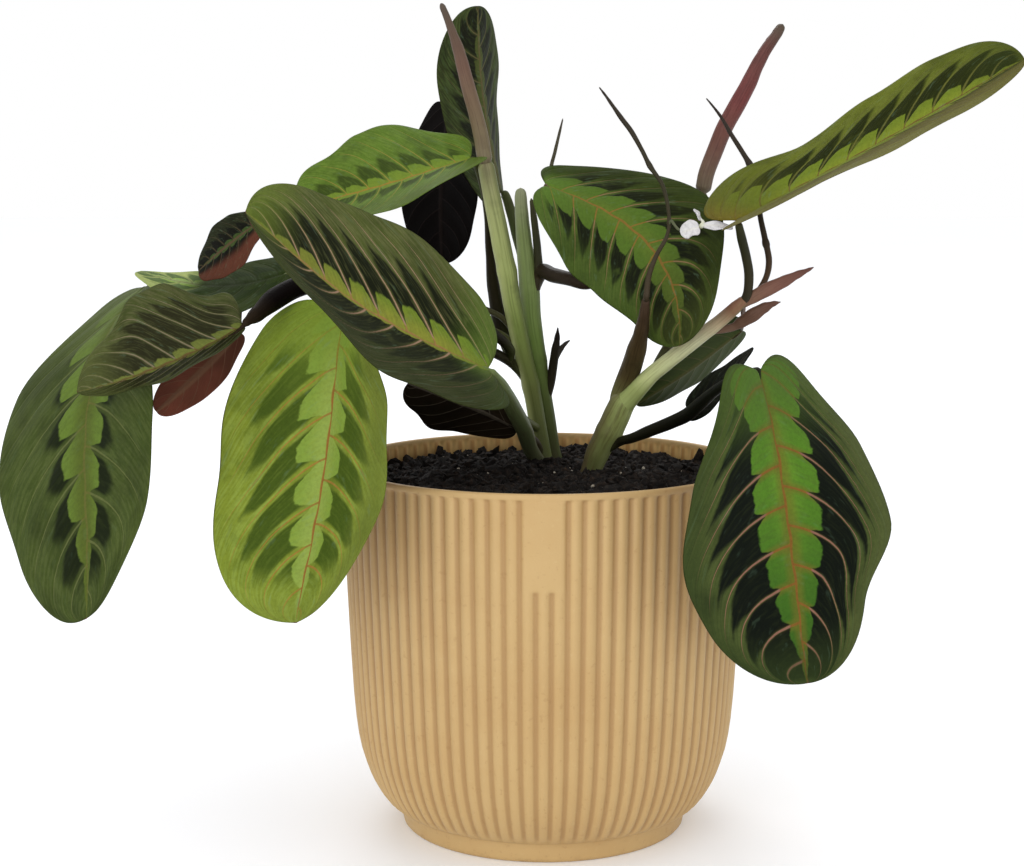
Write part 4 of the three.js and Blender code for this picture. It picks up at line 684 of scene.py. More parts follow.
LOOKS = {
    "leaf_right_hanging": dict(DARK, off=0.12, b0=0.25, b1=0.13, wide=1.10, thin=0.50, flare=0.60, m=(80, 90, 44), m2=(60, 76, 36), line=(94, 104, 54), bl=(12, 18, 10), ve=(156, 108, 92), rc=(138, 92, 42),
                               vw=0.046, skew=0.0, arch=(0.03, 0.10, 0.28), arch_l=(0.14, 0.20, 0.36), wave=0.3, r0=0.46, r1=0.34, ba=(106, 148, 44), ba2=(88, 132, 38), hc=(64, 22, 20), halo=0.6,
                               lobe_in=0.26, lobe_out=0.78, lobe_p=0.7, fl=0.08, spec=0.05, gap=(0.02, 0.16), bt=(0.30, 0.80, (64, 104, 32)), bh=((112, 108, 40), 0.62), glint=0.08,
                               tint=[("V", 0.78, 1.0, (52, 66, 30), 0.65), ("U", 0.70, 0.97, (46, 60, 26), 0.55), ("U", -0.72, -0.95, (92, 100, 56), 0.5), ("V", 0.30, 0.04, (80, 102, 42), 0.6)]),
    "leaf_front_left": dict(LIME, off=0.35, nv=7, b0=0.07, b1=0.19, wide=1.15, thin=0.75, r0=0.42, r1=0.32, m=(148, 162, 58), m2=(122, 142, 46), bl=(74, 94, 28), skew=0.05, ba=(156, 178, 84), ba2=(138, 166, 68),
                            arch=(0.14, 0.26), vw=0.036, va=0.7, gap=(0.14, 0.36), fl=0.12, be=(0.80, 0.92), bv=(0.10, 0.18), halo=0.15, flare=0.16, lobe_in=0.34, lobe_out=0.66, lobe_p=0.7,
                            tint=[("V", 0.30, 0.0, (126, 152, 52), 0.75), ("U", -0.45, -0.85, (108, 120, 48), 0.75), ("V", 0.86, 1.0, (126, 140, 56), 0.6)]),
    "leaf_far_left": dict(DARK, off=0.55, nv=8, b0=0.08, b1=0.16, r0=0.22, r1=0.24, spec=0.04, ra=0.55, m=(78, 90, 40), m2=(60, 76, 32), line=(96, 108, 58), bl=(26, 34, 12), ba=(90, 104, 40), ba2=(104, 128, 50), va=0.55,
                          ve=(118, 124, 74), rc=(112, 106, 54), hc=(60, 66, 30), lobe_in=0.3, lobe_out=0.74, lobe_p=0.8, gap=(0.12, 0.34), wide=1.9, thin=0.55, fl=0.10, glint=0.05, be=(0.86, 0.95), mid=(0.0, -0.42, 0.30),
                          tint=[("V", 0.40, 0.10, (98, 110, 62), 0.5)]),
    "leaf_left_upper": dict(DARK, off=0.2, spec=0.04, nv=8, arch=(0.30, 0.16), b0=0.03, b1=0.09, band_from=0.0, m=(80, 88, 44), m2=(62, 72, 34), line=(112, 110, 76), bl=(44, 44, 24), ba=(116, 124, 58), ba2=(100, 110, 50), ve=(138, 126, 100),
                            vw=0.06, rc=(108, 84, 50), hc=(66, 56, 38), r0=0.50, r1=0.30, thin=0.3, fl=0.4, tint=[("V", 0.62, 0.95, (98, 106, 56), 0.6)]),
    "leaf_left_turned": dict(DARK, slot="leaf_underside", off=0.4, nv=6, m=(58, 64, 34), m2=(44, 50, 26), bl=(20, 18, 12), ba=(70, 70, 38), ba2=(60, 62, 32), un=(144, 84, 66), un2=(106, 66, 50), ub=(118, 86, 60), uv=(138, 104, 80)),
    # leaf_left_pale: its tint darkens the blade from the middle to the base nearly to black-green, painted shade
    "leaf_left_pale": dict(LIME, off=0.1, nv=7, m=(192, 204, 126), m2=(172, 188, 106), line=(172, 190, 124), bl=(96, 120, 66), ba=(158, 178, 112), ve=(140, 146, 92), rc=(134, 130, 84), lobe_in=0.3, lobe_out=0.72,
                           spec=0.01, tint=[("V", 0.74, 0.54, (36, 52, 8), 0.95)]),
    "leaf_left_small": dict(GLOOM, off=0.3, m=(42, 44, 24), m2=(30, 32, 18), bl=(18, 18, 11), un=(102, 58, 44), un2=(76, 46, 34), uv=(112, 74, 56), tint=[("U", -0.22, -0.60, (112, 62, 47), 0.75)]),
    "leaf_centre_left": dict(DARK, off=0.62, nv=9, arch=(0.22, 0.26), m=(98, 106, 52), m2=(72, 86, 40), line=(132, 130, 88), bl=(28, 32, 16), ba=(152, 156, 62), ba2=(122, 144, 50), ve=(186, 150, 124),
                             vw=0.052, rc=(170, 130, 80), hc=(82, 46, 34), base_band=1.0, b0=0.05, b1=0.16, r0=0.32, r1=0.36, one_side=1.0, lobe_in=0.30, lobe_out=0.72, lobe_p=0.8, mott=0.3, spec=0.04, fl=0.34,
                             bt=(0.45, 0.9, (128, 134, 56)),
                             tint=[("V", 0.76, 1.0, (118, 136, 54), 0.7), ("V", 0.20, 0.03, (108, 138, 54), 0.5), ("U", -0.03, -0.5, (36, 42, 20), 0.72)]),
    "leaf_top_left": dict(LIME, off=0.8, nv=8, m=(104, 132, 48), m2=(88, 116, 40), line=(126, 150, 66), blot=0.85, bl=(56, 70, 26), ba=(124, 146, 54), ba2=(112, 138, 48), ve=(156, 140, 66), rc=(166, 134, 60), b0=0.05, b1=0.13, r0=0.14, r1=0.34,
                          gap=(0.06, 0.3), tint=[("U", -0.3, -0.8, (84, 96, 44), 0.5)]),
    "leaf_top_upright": dict(DARK, off=0.25, nv=8, m=(64, 70, 36), m2=(48, 56, 30), bl=(30, 32, 20), ba=(82, 90, 44), ba2=(70, 80, 38), ve=(104, 96, 64), rc=(104, 92, 58), b0=0.08, b1=0.08, r0=0.3, fl=0.3),
    # leaf_behind: near-black colours, its purple underside darkened as painted shade
    "leaf_behind": dict(GLOOM, off=0.5, spec=0.02, uspec=0.02, un=(12, 8, 7), un2=(8, 6, 5), ub=(18, 13, 11), uv=(30, 23, 20), m=(14, 12, 8), m2=(10, 9, 7)),
    "leaf_low": dict(GLOOM, off=0.1, un=(58, 48, 34), un2=(38, 32, 22), uv=(128, 120, 104)),
    "leaf_centre_right": dict(DARK, off=0.4, spec=0.04, nv=9, m=(86, 106, 44), m2=(66, 86, 34), line=(104, 120, 54), bl=(26, 30, 16), ba=(100, 122, 46), ba2=(88, 116, 42),
                              ve=(150, 118, 84), rc=(144, 108, 52), hc=(60, 46, 30), b0=0.18, b1=0.15, wide=1.35, thin=0.6, r0=0.34, r1=0.44, flare=0.2, lobe_in=0.5, gap=(0.12, 0.40), fl=0.15, vw=0.044,
                              bt=(0.5, 0.85, (86, 102, 42)), tint=[("V", 0.16, 0.0, (98, 132, 44), 0.6), ("U", -0.30, -0.75, (38, 44, 12), 0.66), ("V", 0.74, 0.95, (82, 92, 44), 0.5), ("U", 0.5, 0.9, (80, 102, 44), 0.4)]),
    "leaf_right_long": dict(DARK, off=0.15, spec=0.04, nv=10, m=(116, 126, 44), m2=(98, 108, 34), line=(112, 118, 60), bl=(40, 46, 14), ba=(136, 150, 50), ba2=(118, 136, 42),
                            ve=(112, 104, 58), rc=(118, 92, 50), hc=(62, 58, 30), b0=0.09, b1=0.22, flare=0.5, lobe_in=0.4, r0=0.40, r1=0.34, gap=(0.02, 0.17), fl=0.12, arch=(0.12, 0.22),
                            tint=[("V", 0.74, 1.0, (58, 68, 28), 0.5), ("V", 0.28, 0.05, (90, 94, 32), 0.6), ("V", 0.10, 0.0, (128, 98, 40), 0.5), ("U", 0.05, 0.40, (112, 104, 46), 0.7)]),
    "leaf_right_olive": dict(GLOOM, off=0.3, un=(64, 76, 36), un2=(48, 60, 28), ub=(76, 88, 42), uv=(88, 86, 50), m=(62, 76, 34), m2=(48, 60, 28)),
    "leaf_right_small": dict(GLOOM, off=0.7, m=(20, 24, 12), m2=(14, 17, 9), line=(30, 34, 18), bl=(10, 12, 7), un=(20, 20, 12), un2=(12, 13, 8), ub=(26, 26, 16), uv=(36, 34, 22), ba=(34, 42, 20), ve=(44, 38, 26), rc=(50, 42, 28)),
}
PETAL_LOOK = dict(slot="petal", mott=0.1, glint=0.0, nv=3, m=(244, 243, 241), m2=(236, 233, 236), line=(232, 228, 232), bl=(240, 238, 238), ba=(246, 244, 236), ve=(226, 218, 228),
                  rc=(232, 228, 220), hc=(238, 236, 238), b0=0.05, b1=0.05, va=0.3, ra=0.3, halo=0.1, blot=0.2, un=(240, 238, 238), un2=(232, 230, 234),
                  ub=(238, 236, 232), uv=(228, 222, 226), quilt=2.0, wave=11.0, wn=1.3, rim=(236, 232, 238))

BROWN = [(0.0, (74, 58, 42)), (1.0, (60, 46, 38))]
STALK_LOOKS = {
    # stem_left_front: the edge option is painted shade on one side, the opposite-side option a painted highlight
    "stem_left_front": dict(slot="stalk_green", sides=30, start=4.0, section=clasp(0.10, 0.06, 0.6), bulges=((0.0, 0.06, 0.30), (0.30, 0.02, 0.10), (0.66, 0.02, 0.08)),
        mat=dict(stops=[(0, (58, 56, 40)), (0.12, (92, 98, 60)), (0.30, (118, 128, 70)), (0.5, (148, 168, 88)), (0.66, (194, 208, 128)), (0.85, (192, 200, 134)), (1, (146, 138, 106))],
                 streak=0.35, dark=(92, 98, 52), edge=(0.35, 0.95, (92, 104, 48), 0.65), painted_shading_other_side=(0.1, 0.8, (214, 222, 150), 0.55))),
    "rolled_leaf_left": dict(slot="stalk_brown", sides=34, start=2.0, section=rolled(0.7, 0.35),
        mat=dict(stops=[(0, (134, 126, 96)), (0.3, (128, 110, 86)), (0.62, (118, 90, 76)), (0.86, (104, 86, 72)), (1, (96, 86, 76))], streak=0.45, dark=(92, 70, 60))),
    # stem_left_back: the edge option is painted shade on one side, the opposite-side option a painted highlight
    "stem_left_back": dict(slot="stalk_green", sides=30, start=4.0, section=clasp(0.10, 0.04, 2.2), bulges=((0.0, 0.06, 0.30), (0.42, 0.02, 0.08)),
        mat=dict(stops=[(0, (60, 44, 34)), (0.12, (70, 72, 44)), (0.3, (92, 106, 54)), (0.5, (124, 150, 76)), (0.85, (158, 176, 112)), (1, (170, 174, 140))], streak=0.35, dark=(72, 84, 44),
                 edge=(0.4, 0.95, (84, 96, 48), 0.5), painted_shading_other_side=(0.3, 0.9, (186, 196, 150), 0.5))),
    "petiole_centre_left": dict(leaf="leaf_centre_left", slot="stalk_green", sides=26, section=clasp(0.10, 0.1, 0.8), mat=dict(stops=[(0, (82, 84, 62)), (0.4, (104, 118, 76)), (1, (122, 142, 80))], streak=0.5, dark=(92, 82, 62))),
    # petiole_top_left: its dark middle is painted shade
    "petiole_top_left": dict(leaf="leaf_top_left", slot="stalk_brown", mat=dict(stops=[(0, (104, 124, 64)), (0.10, (84, 92, 48)), (0.26, (46, 42, 26)), (0.6, (46, 40, 26)), (1, (92, 98, 50))], dark=(24, 20, 14), spec=0.07)),
    "petiole_top_upright": dict(leaf="leaf_top_upright", slot="stalk_green", mat=dict(stops=[(0, (90, 104, 56)), (1, (76, 84, 46))])),
    "petiole_behind": dict(leaf="leaf_behind", slot="stalk_brown", mat=dict(stops=[(0, (104, 124, 64)), (0.12, (84, 92, 48)), (0.30, (34, 28, 20)), (1, (18, 13, 12))], dark=(14, 11, 9), spec=0.05)),
    "petiole_front_left": dict(leaf="leaf_front_left", slot="stalk_green", bulges=((0.9, 0.07, 0.14),), mat=dict(stops=[(0, (92, 100, 54)), (1, (128, 134, 70))])),
    "petiole_far_left": dict(leaf="leaf_far_left", slot="stalk_brown", mat=dict(stops=[(0, (88, 98, 56)), (0.08, (60, 58, 36)), (0.2, (38, 32, 22)), (0.7, (36, 30, 20)), (1, (96, 108, 52))], dark=(24, 18, 14), spec=0.07)),
    # petiole_left_upper: its near-black middle is partly its own dark purple and partly painted shade
    "petiole_left_upper": dict(leaf="leaf_left_upper", slot="leaf_underside", mat=dict(stops=[(0, (84, 92, 50)), (0.12, (44, 40, 26)), (0.35, (14, 9, 9)), (0.85, (16, 11, 10)), (1, (58, 46, 32))], dark=(8, 6, 6), spec=0.04)),
    "petiole_left_pale": dict(leaf="leaf_left_pale", slot="stalk_green", mat=dict(stops=[(0, (84, 86, 50)), (1, (120, 132, 84))])),
    "petiole_left_small": dict(leaf="leaf_left_small", slot="stalk_green", mat=dict(stops=[(0, (80, 80, 48)), (1, (60, 50, 40))])),
    "petiole_low": dict(leaf="leaf_low", slot="stalk_brown", mat=dict(stops=[(0, (82, 88, 50)), (0.3, (58, 50, 34)), (1, (44, 38, 26))])),
    "petiole_centre_right": dict(leaf="leaf_centre_right", slot="stalk_brown", mat=dict(stops=[(0, (84, 92, 52)), (0.07, (66, 58, 40)), (0.16, (52, 42, 32)), (0.6, (60, 48, 36)), (1, (104, 92, 56))])),
    # stem_right: the edge option is a painted highlight; the opposite side is darkened brown, partly its own colour and
    # partly painted shade
    "stem_right": dict(slot="stalk_green", sides=34, start=4.0, section=clasp(0.12, 0.05, 0.4), bulges=((0.62, 0.05, 0.05),),
        mat=dict(stops=[(0, (62, 54, 36)), (0.15, (82, 84, 50)), (0.5, (112, 120, 68)), (0.8, (142, 152, 88)), (1, (164, 178, 108))], streak=0.5, dark=(88, 72, 48), edge=(0.1, 0.8, (176, 188, 124), 0.35), painted_shading_other_side=(0.35, 0.9, (92, 74, 52), 0.6))),
    "stem_right_brown": dict(slot="stalk_brown", sides=26, root=(26.2, 7.6, 147.6, 3.3), section=clasp(0.12, 0.1, 1.2), mat=dict(stops=[(0, (122, 124, 76)), (0.25, (92, 80, 50)), (0.7, (84, 68, 44)), (1, (80, 62, 50))], streak=0.5, dark=(54, 42, 30), spec=0.06)),
    # petiole_right_pale: the bright middle of its ramp is partly its pale colour and partly a painted highlight; the
    # edge option is painted shade on one side
    "petiole_right_pale": dict(slot="stalk_green", sides=30, bend=((0.24, 0.17, (-0.5, 0.0, 1.3)), (0.62, 0.16, (-0.2, 0.0, 0.7))), bulges=((0.28, 0.22, -0.10),), root=(26.6, 7.2, 146.4, 4.3), section=clasp(0.10, 0.08, 1.9), grow=[(68.5, -12.0, 186.4, 1.35), (70.0, -12.0, 187.3, 0.68)], mat=dict(
        stops=[(0, (158, 172, 104)), (0.16, (176, 190, 118)), (0.26, (224, 234, 164)), (0.62, (252, 252, 204)), (0.76, (226, 206, 168)), (0.88, (156, 114, 90)), (1, (136, 96, 78))], streak=0.3, dark=(134, 134, 80),
        edge=(0.35, 0.95, (118, 128, 70), 0.4))),
    "flower_stalk": dict(slot="stalk_brown", sides=14, bulges=((0.36, 0.012, 0.45), (0.62, 0.02, 0.30)), mat=dict(stops=[(0, (74, 62, 46)), (0.5, (62, 58, 40)), (1, (56, 48, 40))], dark=(36, 32, 24))),
    "flower_pedicel": dict(slot="stalk_brown", sides=12, start=1.0, end=0.6, mat=dict(stops=[(0, (76, 84, 54)), (1, (170, 176, 140))])),
    "thin_bract_right": dict(slot="stalk_brown", sides=14, bulges=((0.30, 0.012, 0.35), (0.66, 0.02, 0.35)), mat=dict(stops=[(0, (96, 72, 52)), (0.4, (56, 50, 36)), (1, (56, 46, 40))], dark=(34, 28, 22))),
    "petiole_right_long": dict(leaf="leaf_right_long", slot="stalk_green", mat=dict(stops=[(0, (58, 50, 34)), (0.6, (46, 48, 26)), (1, (96, 98, 46))], dark=(32, 32, 18))),
    "thin_bract_centre": dict(slot="stalk_brown", sides=12, mat=dict(stops=[(0, (90, 88, 60)), (1, (84, 78, 66))])),
    "rolled_leaf_right": dict(slot="stalk_brown", sides=34, start=1.5, section=rolled(0.3, 0.45, 0.80),
        mat=dict(stops=[(0, (112, 104, 82)), (0.25, (118, 84, 72)), (0.55, (124, 66, 64)), (0.85, (112, 72, 66)), (1, (92, 84, 70))], streak=0.45, dark=(72, 44, 42))),
    "stalk_rolled_right": dict(slot="stalk_green", mat=dict(stops=[(0, (88, 92, 58)), (0.6, (72, 66, 48)), (1, (104, 98, 72))])),
    "bract_right_upper": dict(slot="bract", start=2.0, section=boat(0.5), mat=dict(stops=[(0, (132, 104, 82)), (0.5, (132, 92, 78)), (1, (110, 74, 64))], dark=(92, 60, 50))),
    "bract_right_lower": dict(slot="bract", section=boat(0.5), mat=dict(stops=[(0, (124, 98, 78)), (1, (108, 76, 64))], dark=(88, 58, 48))),
    "petiole_right_hanging": dict(leaf="leaf_right_hanging", slot="stalk_brown", bulges=((0.92, 0.05, 0.14),), mat=dict(stops=[(0, (74, 78, 46)), (0.10, (36, 34, 22)), (0.5, (20, 21, 13)), (0.9, (24, 28, 16)), (1, (60, 70, 36))], dark=(12, 12, 8), spec=0.05)),
    "petiole_left_turned": dict(leaf="leaf_left_turned", slot="stalk_brown", mat=dict(stops=[(0, (74, 58, 42)), (1, (110, 60, 52))])),
    "petiole_right_olive": dict(leaf="leaf_right_olive", slot="stalk_brown", mat=dict(stops=[(0, (124, 86, 68)), (1, (74, 70, 44))])),
    "petiole_right_small": dict(leaf="leaf_right_small", slot="stalk_brown", mat=dict(stops=[(0, (24, 24, 16)), (1, (22, 24, 14))], dark=(12, 12, 8), spec=0.05)),
    "twig_left": dict(slot="stalk_brown", sides=14, mat=dict(stops=[(0, (60, 56, 38)), (1, (34, 28, 24))], dark=(20, 17, 14), spec=0.06)),
}

WORLD = 1.0
LIGHTS = [
    ("key", (-0.62, -2.85, 0.80), (0, 0, 0.14), 3.0, 48.5, (1.0, 0.99, 0.97)),
    ("rim", (-0.4, 1.6, 1.6), (0, 0, 0.14), 1.2, 10.0, (1, 1, 1)),
]


# ---------------------------------------------------------------- pot
FLUTES, PITCH_SAMPLES = 84, [0.0, 0.10, 0.21, 0.34, 0.5, 0.66, 0.79, 0.90]
PANEL_HALF, PANEL_BOTTOM = 0.096, 97.0


def pot():
    # height, crest radius, groove depth
    outer = [(0.0, 48.6, 0), (0.25, 49.4, 0), (0.9, 49.95, 0), (2.0, 50.15, 0), (4.5, 50.55, 0), (6.6, 50.9, 0), (7.1, 51.1, 0), (7.4, 51.8, 0),
             (7.7, 52.9, 0.25), (8.2, 54.0, 0.6), (9.0, 55.2, 0.85), (10.2, 56.5, 1.0), (12, 57.9, 1.05), (14, 59.2, 1.1), (17, 60.9, 1.1),
             (20, 62.2, 1.1), (24, 63.6, 1.1), (28, 64.8, 1.1), (33, 65.8, 1.1), (39, 66.6, 1.1), (48, 67.4, 1.1), (60, 68.1, 1.1), (72, 68.7, 1.1),
             (84, 69.25, 1.1), (94, 69.65, 1.1), (96.2, 69.7, 1.1), (97.2, 69.75, 1.1), (98.2, 69.8, 1.1), (104, 69.95, 1.1), (112, 70.15, 1.1), (120, 70.3, 1.1),
             (125.4, 70.4, 1.1), (126.3, 70.42, 1.0), (126.8, 70.45, 0.5), (127.05, 70.5, 0.1), (127.4, 70.55, 0), (128.2, 70.55, 0), (128.7, 70.42, 0), (128.95, 70.1, 0),
             (129.0, 69.6, 0), (128.98, 69.1, 0), (128.8, 68.75, 0), (128.4, 68.55, 0), (127.9, 68.5, 0)]
    inner = [(127.3, 68.45, 0.1), (126.8, 68.45, 0.45), (126.0, 68.4, 0.6), (124, 68.3, 0.6), (120, 68.1, 0.6), (114, 67.8, 0.6), (100, 67.2, 0.6),
             (60, 65.4, 0.6), (30, 62.3, 0.4), (14, 55.5, 0.2), (5.5, 48.5, 0), (4.2, 46.8, 0), (4.0, 45.5, 0), (4.0, 30.0, 0), (4.0, 12.0, 0)]
    n = FLUTES * len(PITCH_SAMPLES)
    frac = np.tile(PITCH_SAMPLES, FLUTES)
    th = (np.repeat(np.arange(FLUTES), len(PITCH_SAMPLES)) + frac) / FLUTES * 2 * np.pi - np.pi / 2 + np.pi / FLUTES
    groove = (1 - np.abs(2 * frac - 1)) # 0 at the crease, 1 on the crest
    dip = 0.62 * (0.5 + 0.5 * np.cos(np.pi * groove)) + 0.38 * (1 - groove) ** 2
    d = np.abs((th + np.pi / 2 + np.pi) % (2 * np.pi) - np.pi)
    rings = []
    for z, r, s in outer:
        keep = np.ones(n)
        if z > 90:
            up = np.clip((z - PANEL_BOTTOM + 0.8) / 1.6, 0, 1)
            inside = np.clip((PANEL_HALF - d) / 0.012 + 0.5, 0, 1)
            keep = 1 - up * inside
        rr = r - s * dip * keep
        rings.append(np.stack([rr * np.cos(th), rr * np.sin(th), np.full(n, z)], -1))
    for z, r, s in inner:
        rr = r + 1.5 * s * (1 - dip) - 1.5 * s * 0.5
        rings.append(np.stack([rr * np.cos(th), rr * np.sin(th), np.full(n, z)], -1))
    V = np.concatenate(rings + [np.array([[0, 0, 4.0]]), np.array([[0, 0, 0.0]]),])
    a = np.arange(n)
    b = (a + 1) % n
    faces = []
    for i in range(len(rings) - 1):
        o, q = i * n, (i + 1) * n
        faces += np.stack([o + a, o + b, q + b, q + a], -1).tolist()
    top = len(rings) * n
    o = (len(rings) - 1) * n
    faces += [(top, int(o + x), int(o + y)) for x, y in zip(a, b)]
    faces += [(top + 1, int(y), int(x)) for x, y in zip(a, b)]
    k = Nodes("pot_plastic")
    base = k.noise(k.obj, 26.0, 3.0, 0.55)
    fine = k.noise(k.obj, 1500.0, 3.0, 0.6)
    fleck = k.noise(k.obj, 420.0, 2.0, 0.75)
    xyz = k.t.nodes.new("ShaderNodeSeparateXYZ")
    k.t.links.new(k.obj, xyz.inputs[0])
    c = k.mix(k.step(base, 0.35, 0.68), lin((213, 178, 121)), lin((207, 170, 113)))
    c = k.mix(k.mul(k.step(fleck, 0.60, 0.72), 0.22), c, lin((168, 128, 78)))
    c = k.mix(k.mul(k.step(fleck, 0.26, 0.38, 1.0, 0.0), 0.18), c, lin((226, 198, 146)))
    # painted shade in the outer flute creases; painted light on the inner wall, with painted shade in its creases; dust
    # and damp soil marks low inside, scuffs on the foot
    rad = k.m("SQRT", k.add(k.mul(xyz.outputs[0], xyz.outputs[0]), k.mul(xyz.outputs[1], xyz.outputs[1])))
    inside = k.mul(k.step(rad, 0.0686, 0.0690, 1.0, 0.0), k.mul(k.step(xyz.outputs[2], 0.1130, 0.1150), k.step(xyz.outputs[2], 0.1265, 0.1285, 1.0, 0.0)))
    turn_ = k.m("ARCTAN2", xyz.outputs[1], xyz.outputs[0])
    fl = k.m("COSINE", k.mul(k.add(turn_, math.pi / 2), FLUTES))
    # painted shade: the crease mask darkens the outer flute grooves below the rim lip and off the plain panel, and the
    # inner wall's grooves
    crease = k.mul(k.step(fl, -1.0, 0.1, 1.0, 0.0), k.step(xyz.outputs[2], 0.0075, 0.012))
    plain = k.mul(k.step(k.abs(k.sub(k.m("ARCTAN2", k.mul(xyz.outputs[0], 1.0), k.mul(xyz.outputs[1], -1.0)), 0.0)), PANEL_HALF - 0.01, PANEL_HALF + 0.005, 1.0, 0.0), k.step(xyz.outputs[2], 0.0965, 0.0975))
    c = k.mix(k.mul(k.mul(crease, k.inv(plain)), k.mul(k.step(xyz.outputs[2], 0.1265, 0.1272, 1.0, 0.0), 0.46)), c, lin((152, 106, 58)))
    # painted light: the inner wall above the soil is made brighter than the outside plastic
    c = k.mix(k.mul(inside, 0.8), c, lin((244, 200, 126)))
    c = k.mix(k.mul(k.mul(inside, crease), 0.6), c, lin((168, 112, 52)))
    stain = k.mul(inside, k.mul(k.step(xyz.outputs[2], 0.1225, 0.1265, 1.0, 0.0), k.step(base, 0.30, 0.55)))
    c = k.mix(k.mul(stain, 0.40), c, lin((90, 58, 34)))
    scuff = k.noise(k.obj, 210.0, 4.0, 0.7)
    foot = k.mul(k.step(xyz.outputs[2], 0.0, 0.004, 1.0, 0.0), k.step(scuff, 0.5, 0.68))
    c = k.mix(k.mul(foot, 0.35), c, lin((176, 140, 92)))
    k.bump(k.add(k.mul(fine, 0.8), k.mul(fleck, 0.5)), 0.00010, 0.55)
    mat = k.done(c, k.add(0.50, k.mul(k.step(scuff, 0.45, 0.7), 0.10)), Specular_IOR_Level=0.35)
    ob = mesh_object("skin_pot", (V * MM).tolist(), faces, mats=(mat,))
    return hand_in(ob, "pot", "pot")


# ---------------------------------------------------------------- soil
def soil():
    rings, n = 46, 150
    V, F = [], []
    ph = RNG.uniform(0, 6.28, (14, 2))
    fr = RNG.uniform(0.05, 0.9, 14) * np.where(np.arange(14) < 4, 0.25, 1)
    di = RNG.uniform(0, 6.28, 14)

    def lift(x, y):
        h = np.zeros_like(x)
        for i in range(14):
            h = h + np.sin((x * math.cos(di[i]) + y * math.sin(di[i])) * fr[i] + ph[i, 0]) * (0.34 if i < 4 else 0.13)
        return h

    R = 66.9
    rr = R * (1 - (1 - np.linspace(0, 1, rings + 1)[1:]) ** 1.0)
    th = np.arange(n) / n * 2 * np.pi
    pts = [np.array([[0, 0, 122.6]])]
    for r in rr:
        x, y = r * np.cos(th), r * np.sin(th)
        j = RNG.normal(0, 0.22, (n, 3))
        z = 122.4 + 0.9 * (1 - (r / R) ** 2) + lift(x, y) * (0.35 if r == rr[-1] else 1.0)
        p = np.stack([x, y, z], -1) + j * np.array([1, 1, 1.6]) * (0 if r == rr[-1] else 1)
        pts.append(p)
    for z, r in ((118.5, 66.6), (100, 65.6), (60, 63.8), (28, 60.3), (4.4, 45.0)):
        pts.append(np.stack([r * np.cos(th), r * np.sin(th), np.full(n, z)], -1))
    base = len(pts) - 1
    pts.append(np.array([[0, 0, 4.4]]))
    V = np.concatenate(pts)
    F = [(0, 1 + j, 1 + (j + 1) % n) for j in range(n)]
    for i in range(base - 1):
        o, q = 1 + i * n, 1 + (i + 1) * n
        F += [(o + j, q + j, q + (j + 1) % n, o + (j + 1) % n) for j in range(n)]
    o, last = 1 + (base - 1) * n, len(V) - 1
    F += [(last, o + (j + 1) % n, o + j) for j in range(n)]
    k = Nodes("damp_soil")
    n1 = k.noise(k.obj, 300.0, 4.0, 0.7)
    n2 = k.noise(k.obj, 1400.0, 3.0, 0.7)
    c = k.ramp(n1, [(0.30, (10, 9, 8)), (0.52, (24, 19, 16)), (0.66, (44, 35, 28)), (0.80, (84, 70, 56))])
    c = k.mix(k.mul(k.step(n2, 0.60, 0.74), 0.5), c, lin((120, 100, 78)))
    k.bump(k.add(n1, k.mul(n2, 0.4)), 0.0012, 1.0)
    mat = k.done(c, 0.93, Specular_IOR_Level=0.18)
    bed = mesh_object("soil_bed", (V * MM).tolist(), F, mats=(mat,))
    hand_in(bed, "soil", "soil")
    # crumbs of peat and bark, and a few pale grains
    ico = [(0, 0, -1), (0.72, -0.53, -0.45), (-0.28, -0.85, -0.45), (-0.89, 0, -0.45), (-0.28, 0.85, -0.45), (0.72, 0.53, -0.45),
           (0.28, -0.85, 0.45), (-0.72, -0.53, 0.45), (-0.72, 0.53, 0.45), (0.28, 0.85, 0.45), (0.89, 0, 0.45), (0, 0, 1)]
    tri = [(0, 1, 2), (1, 0, 5), (0, 2, 3), (0, 3, 4), (0, 4, 5), (1, 5, 10), (2, 1, 6), (3, 2, 7), (4, 3, 8), (5, 4, 9), (1, 10, 6),
           (2, 6, 7), (3, 7, 8), (4, 8, 9), (5, 9, 10), (6, 10, 11), (7, 6, 11), (8, 7, 11), (9, 8, 11), (10, 9, 11)]
    tri = [(a, c_, b) for a, b, c_ in tri]
    ico = np.array(ico)

    def crumbs(name, count, lo, hi, mat, flat=1.0, long=1.0, sink=0.1):
        vs, fs = [], []
        for i in range(count):
            r = 66.0 * math.sqrt(RNG.uniform(0, 1))
            a = RNG.uniform(0, 2 * math.pi)
            x, y = r * math.cos(a), r * math.sin(a)
            s = lo + (hi - lo) * RNG.uniform(0, 1) ** 2.2
            p = ico * (1 + RNG.normal(0, 0.20, (12, 1))) * np.array([s * long, s, s * flat])
            q = RNG.normal(0, 1, 3) * np.array([0.4, 0.4, 1]) if flat < 1 else RNG.normal(0, 1, 3)
            ax = unit(q)
            an = RNG.uniform(0, 6.28)
            p = p * math.cos(an) + np.cross(ax, p) * math.sin(an) + np.outer(p @ ax, ax) * (1 - math.cos(an))
            z = 122.4 + 0.9 * (1 - (r / R) ** 2) + float(lift(np.array([x]), np.array([y]))[0]) + s * sink
            vs.append(p + [x, y, z])
            fs += [(i * 12 + a_, i * 12 + b_, i * 12 + c_) for a_, b_, c_ in tri]
        ob = mesh_object(name, (np.concatenate(vs) * MM).tolist(), fs, mats=(mat,), smooth=False)
        hand_in(ob, "soil")

